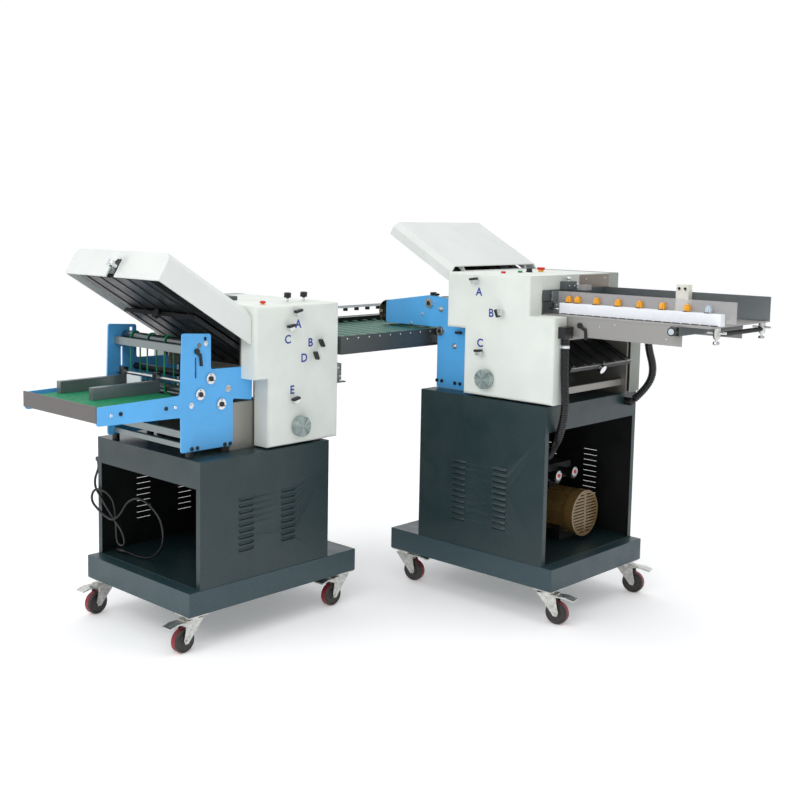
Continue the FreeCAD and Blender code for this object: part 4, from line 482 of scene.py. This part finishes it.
def dress_all():
    for node in frame["nodes"]:
        if node.startswith("caster_wheel"):
            dress(node, RED_TREAD, core=(WHEEL_CORE, WHEEL_CORE_REACH))
            continue
        starts = [start for start in LOOKS if node.startswith(start)]
        if starts:
            base, regions, bevel = LOOKS[max(starts, key=len)]
            dress(node, base, regions, bevel)


dress_all()


# ---------------------------------------------------------------- cords

def route_curve(name, unit, points, radius, material):
    """A round cord or hose as a NURBS curve along its route."""
    data = bpy.data.curves.new(name, "CURVE")
    data.dimensions = "3D"
    data.resolution_u = 10
    data.bevel_depth = radius * MM
    data.bevel_resolution = 3
    data.use_fill_caps = True
    spline = data.splines.new("NURBS")
    spline.points.add(len(points) - 1)
    for target, point in zip(spline.points, points):
        target.co = (*at(unit, *point), 1.0)
    spline.order_u = 3
    spline.use_endpoint_u = True
    data.materials.append(material)
    item = bpy.data.objects.new(name, data)
    bpy.context.scene.collection.objects.link(item)
    return item


MAINS_ROUTE = (
    (-655, 559, 497), (-655, 559, 476), (-663, 572, 440), (-671, 558, 412), (-671, 530, 390),
    (-667, 490, 350), (-662, 455, 316), (-656, 420, 284), (-650, 414, 238), (-644, 472, 230),
    (-646, 474, 290), (-650, 472, 345), (-655, 480, 386), (-668, 508, 410), (-681, 552, 410),
    (-678, 574, 366), (-676, 530, 340), (-674, 490, 326), (-672, 452, 320), (-660, 425, 344),
    (-648, 410, 384), (-640, 360, 410), (-640, 292, 398), (-638, 243, 366), (-636, 226, 326),
    (-624, 244, 272), (-610, 300, 226), (-604, 352, 200), (-609, 416, 196.2), (-613, 450, 201.2),
    (-616, 475, 201.2),
)
FRONT_HOSE_ROUTE = ((-13, 53, 941), (-13, 53, 830), (-3, 53, 700), (-32, 61, 610), (-80, 101, 566),
                    (-132, 153, 524))
REAR_HOSE_ROUTE = ((30, 492, 925), (30, 492, 890), (38, 530, 800), (14, 520, 735), (-13.1, 488.1, 699.1))
LEAD_RADIUS, HOSE_RADIUS = 4.0, 12.0
RIB_PITCH, RIB_PROUD = 8.0, 1.9

# The corners of a block, counted with Z fastest and U slowest, that bound each of its six faces.
BOX_FACES = ((0, 1, 3, 2), (4, 6, 7, 5), (0, 4, 5, 1), (2, 3, 7, 6), (0, 2, 6, 4), (1, 5, 7, 3))


def stand_mesh(name, form, material, body="stand", bevel=0):
    """Make an object of a bmesh that is already in metres, and let it ride on a body."""
    target = bpy.data.meshes.new(name)
    form.to_mesh(target)
    form.free()
    target.materials.append(material)
    finish_mesh(target)
    item = bpy.data.objects.new(name, target)
    bpy.context.scene.collection.objects.link(item)
    if bevel:
        soften(item, bevel)
    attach(item, body)
    return item


def turned(form, unit, start, way, profile, steps=24):
    """Add a turned form: (radius, height) pairs set along a direction from a place."""
    turn = Vector(way).to_track_quat("Z", "Y").to_matrix().to_4x4()
    stand = UNITS[unit] @ Matrix.Translation(start) @ turn
    rings = []
    for radius, height in profile:
        rings.append([form.verts.new(stand @ Vector((radius * math.cos(2 * math.pi * step / steps),
                                                     radius * math.sin(2 * math.pi * step / steps),
                                                     height))) for step in range(steps)])
    for low, high in zip(rings, rings[1:]):
        for step in range(steps):
            after = (step + 1) % steps
            form.faces.new((low[step], low[after], high[after], high[step]))
    form.faces.new(reversed(rings[0]))
    form.faces.new(rings[-1])


def lathe(name, unit, start, way, profile, material, body="stand", steps=24):
    form = bmesh.new()
    turned(form, unit, start, way, profile, steps)
    return stand_mesh(name, form, material, body)


def slab(form, unit, low, high):
    """Add a straight-sided form between two corners."""
    corners = [form.verts.new(UNITS[unit] @ Vector((u, v, z)))
               for u in (low[0], high[0]) for v in (low[1], high[1]) for z in (low[2], high[2])]
    for face in BOX_FACES:
        form.faces.new([corners[index] for index in face])


def slabs(name, unit, boxes, material, bevel, body="stand"):
    form = bmesh.new()
    for low, high in boxes:
        slab(form, unit, low, high)
    bmesh.ops.recalc_face_normals(form, faces=form.faces)
    return stand_mesh(name, form, material, body, bevel)


def centre_line(item, name):
    """Points along a NURBS curve, in metres."""
    plain = item.data.copy()
    plain.bevel_depth = 0
    plain.use_fill_caps = False
    line = bpy.data.objects.new(name, plain)
    read = bpy.data.meshes.new_from_object(line)
    points = [vertex.co.copy() for vertex in read.vertices]
    bpy.data.objects.remove(line)
    bpy.data.curves.remove(plain)
    bpy.data.meshes.remove(read)
    return points


def hose_ribs(name, item, pitch, radius, proud):
    """Rounded ribs of a corrugated hose, evenly spaced along its curve."""
    points = centre_line(item, name + "_line")
    form = bmesh.new()
    travelled = 0.0
    due = pitch
    half = pitch * 0.3
    foot, top = radius - 0.4, radius + proud
    for here, there in zip(points, points[1:]):
        step = (there - here).length
        while step and travelled + step >= due * MM:
            place = here.lerp(there, (due * MM - travelled) / step) / MM
            way = (there - here).normalized()
            turned(form, 0, place - way * half, way,
                   ((foot, 0), (top, half * 0.6), (top, half * 1.4), (foot, half * 2)), 20)
            due += pitch
        travelled += step
    return stand_mesh(name, form, HOSE)


mains = route_curve("mains_lead", 2, MAINS_ROUTE, LEAD_RADIUS, RUBBER)
plug = lathe("mains_plug", 2, (-616, 475, 201.2), (-0.119, 0.993, 0),
             ((4.2, -9), (5.6, -2), (8.4, 3), (8.9, 8), (8.9, 29), (7.4, 34)), BLACK)
boot = slabs("mains_boot", 2, (((-663, 550, 499), (-647, 568, 513)),), BLACK, 2.0)
relief = lathe("mains_relief", 2, (-655, 559, 500), (0, 0, -1),
               ((7.2, 0), (6.8, 4), (5.6, 9), (5.9, 10), (5.2, 15), (5.5, 16), (4.5, 22)), RUBBER)
front_hose = route_curve("front_hose", 1, FRONT_HOSE_ROUTE, HOSE_RADIUS, HOSE)
rear_hose = route_curve("rear_hose", 1, REAR_HOSE_ROUTE, HOSE_RADIUS, HOSE)
for item, node in ((mains, "mains_cord"), (front_hose, "air_hose_front"), (rear_hose, "air_hose_rear")):
    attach(item, "stand")
    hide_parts(node)
front_ribs = hose_ribs("front_hose_ribs", front_hose, RIB_PITCH, HOSE_RADIUS, RIB_PROUD)
rear_ribs = hose_ribs("rear_hose_ribs", rear_hose, RIB_PITCH, HOSE_RADIUS, RIB_PROUD)


# ---------------------------------------------------------------- screws, letters and small trim

OUT_NEAR, OUT_REAR, UP = (0, -1, 0), (0, 1, 0), (0, 0, 1)
FEED_PLATES = ((79, 83), (469, 473))  # the faces of the feed board's side plates, along V
POST_U, POSTS_V = 455, (150, 450)
LETTER_TALL = 38.0
LETTER_V = 4.9  # just proud of the operator's covers


def pan_head(radius):
    """Half profile of a screw head with a driver recess."""
    return ((radius, -0.4), (radius, 0.35 * radius), (radius * 0.8, 0.6 * radius),
            (radius * 0.42, 0.62 * radius), (radius * 0.36, 0.2 * radius), (0.05, 0.2 * radius))


def screws(name, unit, places, way, radius, material=CHROME, body="stand"):
    form = bmesh.new()
    for place in places:
        turned(form, unit, place, way, pan_head(radius), 12)
    return stand_mesh(name, form, material, body)


def on_face(v, pairs):
    return [(u, v, z) for u, z in pairs]


def letter(unit, character, u, z):
    """A plain printed letter on the operator's cover."""
    data = bpy.data.curves.new("letter_" + character, "FONT")
    data.body = character
    data.size = LETTER_TALL
    data.align_x = "CENTER"
    data.align_y = "CENTER"
    data.extrude = 0.15
    data.offset = 0.9
    plain = bpy.data.objects.new("letter_form", data)
    target = bpy.data.meshes.new_from_object(plain)
    bpy.data.objects.remove(plain)
    bpy.data.curves.remove(data)
    upright = Matrix.Rotation(math.pi / 2, 4, "X")
    target.transform(UNITS[unit] @ Matrix.Translation((u, LETTER_V, z)) @ upright)
    target.materials.append(INK)
    name = f"letter_{unit}{character}"
    item = bpy.data.objects.new(name, target)
    bpy.context.scene.collection.objects.link(item)
    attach(item, "stand")


def letters():
    for unit, character, u, z in ((1, "A", -331, 1074), (1, "B", -278, 1006), (1, "C", -321, 902),
                                  (2, "A", -270, 976), (2, "C", -314, 929), (2, "B", -216, 913),
                                  (2, "D", -243, 865), (2, "E", -294, 766)):
        letter(unit, character, u, z)


def frame_screws():
    """Screws, bolts and nuts on the blue side plates, and the small screws round their bearings."""
    near, rear = NEAR_PLATE[0], REAR_PLATE[1]
    for name, unit, pairs, radius, material in (
            ("frame_screws_1", 1, ((-644, 975), (-696, 938)), 5.4, CHROME),
            ("frame_bolts_1", 1, ((-568, 743), (-545, 743), (-485, 741), (-462, 741)), 6.6, BLACK),
            ("frame_screws_2", 2, ((-925, 746), (-700, 745), (-585, 930)), 5.4, CHROME),
            ("frame_bolts_2", 2, ((-892, 747), (-733, 745), (-638, 611), (-617, 611), (-510, 609),
                                  (-489, 609)), 6.4, BLACK)):
        screws(name, unit, on_face(near, pairs), OUT_NEAR, radius, material)
        screws(name + "_rear", unit, on_face(rear, pairs), OUT_REAR, radius, material)
    lathe("slot_nut_2", 2, (-640, near, 744), OUT_NEAR,
          ((9.0, -0.3), (9.0, 1.6), (5.4, 1.8), (5.4, 6.5), (2.6, 7.4), (2.4, 10.0)), CHROME, steps=18)
    lathe("slot_nut_2_right", 2, (-498, near, 783), OUT_NEAR,
          ((11.0, -0.3), (11.0, 2), (7, 2.2), (7, 7.5), (3, 8.4), (2.8, 11.0)), ZINC, steps=18)
    lathe("slot_nut_2_high", 2, (-585, near, 930), OUT_NEAR,
          ((8.0, -0.3), (8.0, 1.6), (5.0, 1.8), (5.0, 6.0), (2.4, 7.0), (2.2, 9.0)), CHROME, steps=18)
    flanges = bmesh.new()
    flange_proud, ring = 8, 13
    for unit, places, count, start in ((2, ((-610, 776), (-570, 821), (-528, 738)), 3, 90),
                                       (1, ((-608, 1017), (-553, 921)), 4, 45)):
        for u, z in places:
            for turn in range(count):
                angle = math.radians(start + 360 / count * turn)
                place = (u + ring * math.cos(angle), near - flange_proud, z + ring * math.sin(angle))
                turned(flanges, unit, place, OUT_NEAR, pan_head(2.6), 10)
    stand_mesh("bearing_screws", flanges, BRASS)


def table_trim():
    """Rivets along the table's walls at its roller axles."""
    left, right = -1160.0, -604.0
    first, pitch, count = -306.0, 52.5, 15
    lean = 38.8  # how far a skewed axle's end lies along the wall from its roller's middle
    for name, x, way, side in (("table_rivets_right", right, (1, 0, 0), -1),
                               ("table_rivets_left", left, (-1, 0, 0), 1)):
        form = bmesh.new()
        for index in range(count):
            turned(form, 1, (x, first + pitch * index + side * lean, 916), way, pan_head(3.0), 10)
        stand_mesh(name, form, CHROME)


def feeder_trim():
    """Threaded rod, caps and screws of the feed board, and the panel above the sheet entry."""
    rod_v = (156.0, 444.0)
    pitch = 6
    profile = [(6.0, 0)]
    for turn in range(int((rod_v[1] - rod_v[0]) / pitch)):
        foot = turn * pitch
        profile += [(6.0, foot + 0.5), (7.4, foot + 2.0), (7.4, foot + 3.5), (6.0, foot + 5.0)]
    lathe("threaded_rod", 1, (POST_U, rod_v[0], 985), OUT_REAR, profile, BLACK, steps=14)
    for index, v in enumerate(POSTS_V, start=1):
        lathe(f"thumb_screw_{index}", 1, (POST_U, v, 970), (0, 0, -1),
              ((3.5, -1), (3.5, 5), (9.5, 6), (10.5, 8), (10.5, 14), (8.0, 16)), CHROME, steps=16)
    lathe("end_knob_cap", 1, (366, 40.3, 993.5), OUT_NEAR, ((9.5, -0.5), (9.5, 0.8), (8.6, 1.6)), CAP)
    screws("bar_screws", 1, [(366, v, 1007) for v in (66, 71)], UP, 2.4)
    screws("feed_plate_screws", 1,
           on_face(FEED_PLATES[0][0], ((96, 985), (330, 966), (-40, 960), (150, 996))), OUT_NEAR, 2.6)
    panel_screws = ((330, 1118), (330, 1098), (440, 1120), (452, 1120))
    screws("panel_screws", 1, [(-125.2, v, z) for v, z in panel_screws], (1, 0, 0), 3.0)
    slabs("stainless_face", 1, (((-126.2, 292, 1080.5), (-125.2, 474, 1133)),), STAINLESS, 0)
    # Black discs in the beige weight's two recesses: painted shade in place of their hollows.
    for index, u in enumerate((176, 198), start=1):
        lathe(f"weight_recess_shade_{index}", 1, (u, 422, 1099.4), OUT_NEAR, ((4.6, -1.5), (4.6, 0.2), (3.2, 0.3)),
              BLACK)
    lathe("port_ring", 1, (-13, 53, 909), UP, ((13.0, 0), (14.6, 0.6), (14.6, 9.4), (13.0, 10)), CHROME)
    slabs("port_ring_screw", 1, (((-20, 33, 911), (-6, 40, 917)),), CHROME, 1.0)


def leaf(form, unit, middle, turn, size):
    """Add a block turned by some degrees about the unit's V axis."""
    angle = math.radians(turn)
    along = Vector((math.cos(angle), 0, math.sin(angle)))
    rise = Vector((-math.sin(angle), 0, math.cos(angle)))
    corners = []
    for a in (-0.5, 0.5):
        for b in (-0.5, 0.5):
            for c in (-0.5, 0.5):
                place = (Vector(middle) + along * size[0] * a + Vector((0, size[1] * b, 0))
                         + rise * size[2] * c)
                corners.append(form.verts.new(UNITS[unit] @ place))
    for face in BOX_FACES:
        form.faces.new([corners[index] for index in face])


def leaves(name, unit, blocks, material, bevel):
    form = bmesh.new()
    for middle, turn, size in blocks:
        leaf(form, unit, middle, turn, size)
    bmesh.ops.recalc_face_normals(form, faces=form.faces)
    return stand_mesh(name, form, material, bevel=bevel)


def prism(name, unit, outline, low_v, high_v, material):
    """A form with one outline in U and Z, from one V to another."""
    form = bmesh.new()
    near = [form.verts.new(at(unit, u, low_v, z)) for u, z in outline]
    rear = [form.verts.new(at(unit, u, high_v, z)) for u, z in outline]
    form.faces.new(near)
    form.faces.new(rear)
    for index in range(len(near)):
        after = (index + 1) % len(near)
        form.faces.new((near[index], near[after], rear[after], rear[index]))
    bmesh.ops.recalc_face_normals(form, faces=form.faces)
    return stand_mesh(name, form, material)


def gap_pointers():
    """Black pointer plate along one side of each gap knob's nut."""
    offset = 9
    for unit, knobs in ((1, ((-340, 1109, 8), (-230, 1013, 112), (-313, 870, 4))),
                        (2, ((-285, 1012, 12), (-314, 966, 10), (-175, 916, 118), (-198, 876, 114),
                             (-292, 732, 14)))):
        blocks = []
        for u, z, turn in knobs:
            angle = math.radians(turn)
            middle = (u - offset * math.sin(angle), -14, z + offset * math.cos(angle))
            blocks.append((middle, turn, (27, 17, 8)))
        leaves(f"gap_pointers_{unit}", unit, blocks, BLACK, 1.2)


def register():
    """The near register: its white bar, clear strip and row of ball holders."""
    body = "side_guide"
    bar = slabs("register_bar", 1, (((-88, 121.6, 1012.4), (480, 150, 1048.4)),), WHITE, 1.4, body)
    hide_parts("side_guide")
    slabs("register_strip", 1, (((-112, 150, 1020.4), (514, 154, 1085)),), CLEAR, 0.5, body)
    places = (-64, -31, 41, 120, 198, 277, 360, 430)
    for material, name, chosen in ((YELLOW, "ball_holders", places[:-1]), (CAP, "clear_holder", places[-1:])):
        boxes = []
        for u in chosen:
            boxes.append(((u - 8.5, 135, 1050), (u + 8.5, 150, 1066)))
            boxes.append(((u - 6, 137, 1066), (u + 6, 149, 1071)))
            boxes.append(((u - 3.5, 132.5, 1052), (u + 3.5, 135.5, 1064)))
        slabs(name, 1, boxes, material, 1.3, body)
    feet = [((u - 10, 131, 1048.3), (u + 4, 149, 1050.2)) for u in places]
    slabs("holder_feet", 1, feet, BLACK, 0.4, body)
    slide = (((-124, 121, 1012.6), (-89, 153, 1023)), ((-118, 124, 1033), (-89, 150, 1048)),
             ((-118.5, 118, 1050), (-113, 158, 1085)), ((-118.5, 124, 1022), (-110, 150, 1050)))
    slabs("register_slide", 1, slide, GALVANISED, 1.0, body)
    lathe("register_slide_rod", 1, (-125, 120, 1028), (1, 0, 0), ((3.2, 0), (3.6, 1), (3.6, 35), (3.2, 36)),
          CHROME, body, 14)
    screws("register_slide_screws", 1, [(-115.7, 117.6, 1058), (-115.7, 117.6, 1077), (-100, 123.6, 1041)],
           OUT_NEAR, 2.6, CHROME, body)
    dashes = [((u, 121.0, 1013.0), (u + 26, 121.7, 1014.8)) for u in range(-80, 460, 31)]
    slabs("register_foot_marks", 1, dashes, BLACK, 0, body)


def separator():
    """Dark plate across the sheet entry, with the gauge block and its thumb knobs."""
    slabs("separator_plate", 1, (((-126, 78, 1053), (-120, 474, 1089)),), DARK_PLATE, 0.8)
    slabs("separator_gauge", 1, (((-126, 178, 1088), (-98, 236, 1115)),), DARK_PLATE, 1.4)
    slabs("separator_fence", 1, (((-97, 236, 1086), (-60, 268, 1104)),), CLEAR, 0.8)
    knob = ((2.6, 0), (2.6, 6), (7, 7), (8.5, 9), (8.5, 14), (6, 16.5))
    lathe("gauge_knob_top", 1, (-112, 207, 1114), UP, knob, CHROME, steps=16)
    lathe("gauge_knob_side", 1, (-112, 236, 1102), OUT_REAR, knob, CHROME, steps=16)
    screws("gauge_screws", 1, [(-97.8, 190, 1100), (-97.8, 222, 1100)], (1, 0, 0), 3.4)


def posts():
    """Rounded sleeves of the feed board's two posts."""
    for index, v in enumerate(POSTS_V, start=1):
        lathe(f"post_sleeve_{index}", 1, (POST_U, v, 972), UP,
              ((4, -1), (8, 0.5), (10, 4), (11, 9), (11, 33), (9.5, 34.8)), ZINC, steps=20)


def second_unit_trim():
    """Hood latch, stop button, top housing, star knob heads and the bracket at the infeed end."""
    way = (-0.855, 0, 0.518)
    lathe("hood_latch_dish", 2, (-793, 243, 1190), way, ((8, -1), (17, 0), (20, 3), (13, 9), (7, 10)), HOOD,
          "hood_2")
    lathe("hood_latch_knob", 2, (-803, 246, 1168), way,
          ((6, -14), (6, 0), (11.5, 1), (13, 4), (13, 12), (10, 15), (5, 15.5)), CHROME, "hood_2")
    lathe("second_stop_collar", 2, (-367, 66, 1038.5), UP, ((6, 0), (6, 5), (5, 5.5)), YELLOW)
    lathe("second_stop_head", 2, (-367, 66, 1043.5), UP, ((8, 0), (10, 1.5), (10, 4.5), (7, 7.5), (2, 8.2)),
          RED)
    slabs("top_housing", 2, (((-362, 256, 1032), (-312, 318, 1053)),), DARK_PLATE, 2.0)
    for index, u in enumerate((-222, -150), start=1):
        lathe(f"star_knob_head_{index}", 2, (u, 110, 1053), UP,
              ((4, -3), (6, 0), (10.5, 5), (12, 8), (11.5, 12), (13, 14), (9, 17), (2, 17.5)), BLACK,
              steps=10)
    slabs("infeed_bracket", 2, (((-86.5, 12, 778), (-66, 36, 834)), ((-80, 14, 768), (-42, 30, 772)),
                                ((-78, 16, 771), (-70, 28, 779))), GALVANISED, 1.0)
    screws("infeed_bracket_screws", 2, [(-72, 12, 790), (-80, 12, 820)], OUT_NEAR, 4.0)


def first_frame_trim():
    """Black wings and nuts on the first unit's near side plate."""
    slabs("frame_wing_top", 1, (((-606, 72, 1044), (-590, 92, 1056)), ((-588, 72, 1044), (-576, 92, 1052))),
          BLACK, 2.5)
    slabs("frame_wing_side", 1, (((-482, 64, 917), (-456, 77, 926)),), BLACK, 2.5)
    nut = ((10, -0.3), (10, 2), (6, 2.2), (6, 7.5), (3, 8.4), (3, 11))
    for index, (u, z) in enumerate(((-556, 998), (-490, 872)), start=1):
        lathe(f"frame_nut_{index}", 1, (u, NEAR_PLATE[0], z), OUT_NEAR, nut, ZINC, steps=16)


def feed_plate_top():
    """Upper part of the feed board's side plates, up to the underside of the board."""
    outline = ((-39, 1006.6), (351.5, 1006.6), (351.5, 980.2))
    for side, (low_v, high_v) in zip(("near", "rear"), FEED_PLATES):
        prism("feed_plate_top_" + side, 1, outline, low_v, high_v, SHEET)


def fold_plate_trim():
    """Light strip and screws along the outer end of the first unit's lower fold plate."""
    prism("lower_plate_strip", 1, ((-11.5, 838.3), (-10.8, 839.6), (-15.2, 842.0), (-15.9, 840.7)), 93, 459,
          ALUMINIUM)
    screws("lower_plate_screws", 1, [(-22, v, 844) for v in (118, 186, 236, 300, 366, 438)],
           (0.469, 0, 0.883), 3.2)


def pump_trim():
    """Dials and red centres on the ends of the pump's two valves."""
    for index, (u, v, z) in enumerate(((-149.8, 244, 440), (-149.8, 342, 440)), start=1):
        lathe(f"valve_ring_{index}", 1, (u, v, z), (1, 0, 0), ((17, -0.5), (17.5, 1), (14, 2.2), (13, 1.4)),
              ALUMINIUM, steps=12)
        lathe(f"valve_centre_{index}", 1, (u, v, z), (1, 0, 0), ((7, -0.5), (7, 3), (4, 4.4)), RED, steps=14)


def louvre_shade_flaps():
    """Near-black inner flaps in painted shade, put where the louvres show only shade; they leave only a
    narrow slot of daylight in each louvre.
    """
    cabinet_long, louvre_long, column_pitch, row_pitch = 534, 56, 175, 20
    first_row, lap = 280, 4
    for unit, left, rows in ((1, -576, 11), (2, -664, 9)):
        boxes = []
        for wall in ((4.2, 5.4), (546.6, 547.8)):
            for column in (-0.5, 0.5):
                start = left + cabinet_long / 2 + column_pitch * column - louvre_long / 2
                for row in range(rows):
                    height = first_row + row_pitch * row
                    boxes.append(((start - lap, wall[0], height + 1.6),
                                  (start + louvre_long + lap, wall[1], height + 8)))
        slabs(f"louvre_shade_flaps_{unit}", unit, boxes, SLATE_PAINTED_SHADE, 0)


letters()
gap_pointers()
register()
separator()
posts()
frame_screws()
first_frame_trim()
second_unit_trim()
table_trim()
feeder_trim()
feed_plate_top()
fold_plate_trim()
pump_trim()
louvre_shade_flaps()


# ---------------------------------------------------------------- stage, lights and camera

def stage():
    """A pale square floor that fills the view to near the horizon."""
    half_side = 70.0
    form = bmesh.new()
    bmesh.ops.create_grid(form, x_segments=1, y_segments=1, size=half_side)
    data = bpy.data.meshes.new("floor")
    form.to_mesh(data)
    form.free()
    glow = STAGE.node_tree.nodes["Principled BSDF"].inputs
    glow["Emission Color"].default_value = (1.0, 1.0, 1.0, 1.0)
    glow["Emission Strength"].default_value = 0.2
    data.materials.append(STAGE)
    floor = bpy.data.objects.new("floor", data)
    bpy.context.scene.collection.objects.link(floor)


def area(name, place, target, size, power):
    data = bpy.data.lights.new(name, "AREA")
    data.shape = "RECTANGLE"
    data.size, data.size_y = size
    data.energy = power
    item = bpy.data.objects.new(name, data)
    bpy.context.scene.collection.objects.link(item)
    item.location = place
    item.rotation_mode = "QUATERNION"
    item.rotation_quaternion = (Vector(target) - Vector(place)).to_track_quat("-Z", "Y")


def lights():
    """A pale sky that is brightest behind the machine, and soft lights on the operator's side."""
    world = bpy.data.worlds.new("studio")
    world.use_nodes = True
    tree = world.node_tree
    sky = tree.nodes["Background"]
    sky.inputs["Color"].default_value = (0.985, 0.99, 1.0, 1.0)
    way = tree.nodes.new("ShaderNodeTexCoord")
    side = tree.nodes.new("ShaderNodeVectorMath")
    side.operation = "DOT_PRODUCT"
    side.inputs[1].default_value = (-0.68, 0.72, 0.14)
    tree.links.new(way.outputs["Generated"], side.inputs[0])
    level = tree.nodes.new("ShaderNodeMapRange")
    for name, number in (("From Min", -0.6), ("From Max", 0.5), ("To Min", 0.58), ("To Max", 1.03)):
        level.inputs[name].default_value = number
    tree.links.new(side.outputs["Value"], level.inputs["Value"])
    tree.links.new(level.outputs["Result"], sky.inputs["Strength"])
    bpy.context.scene.world = world
    middle = (-0.1, 0, 0.6)
    area("key", (-0.6, -3.8, 2.9), middle, (2.8, 2.0), 38)
    area("side", (1.1, -2.2, 2.5), middle, (1.2, 1.0), 17)
    area("top", (0.0, 0.2, 4.4), middle, (3.4, 3.4), 30)


def camera():
    """A camera at the operator's corner, its picture centre shifted off the middle of the frame."""
    yaw, pitch, roll = math.radians(44.4), math.radians(6.18), math.radians(-0.85)
    forward = Vector((-math.sin(yaw) * math.cos(pitch), math.cos(yaw) * math.cos(pitch), -math.sin(pitch)))
    right = Vector((math.cos(yaw), math.sin(yaw), 0))
    down = forward.cross(right)
    turned_right = right * math.cos(roll) + down * math.sin(roll)
    turned_down = down * math.cos(roll) - right * math.sin(roll)
    place = at(1, 2061.6, -3024.3, 1318.8)
    data = bpy.data.cameras.new("camera")
    frame_pixels, focal_pixels = 800.0, 1144.5
    centre_x, centre_y = 356.2, 340.8
    data.sensor_width = 36.0
    data.lens = focal_pixels * data.sensor_width / frame_pixels
    data.shift_x = (frame_pixels / 2 - centre_x) / frame_pixels
    data.shift_y = -(frame_pixels / 2 - centre_y) / frame_pixels
    data.clip_start, data.clip_end = 0.05, 60.0
    item = bpy.data.objects.new("camera", data)
    bpy.context.scene.collection.objects.link(item)
    axes = Matrix((turned_right, -turned_down, -forward)).transposed()
    item.matrix_world = Matrix.Translation(place) @ axes.to_4x4()
    bpy.context.scene.camera = item


stage()
lights()
camera()
bpy.context.scene.view_settings.view_transform = "Standard"
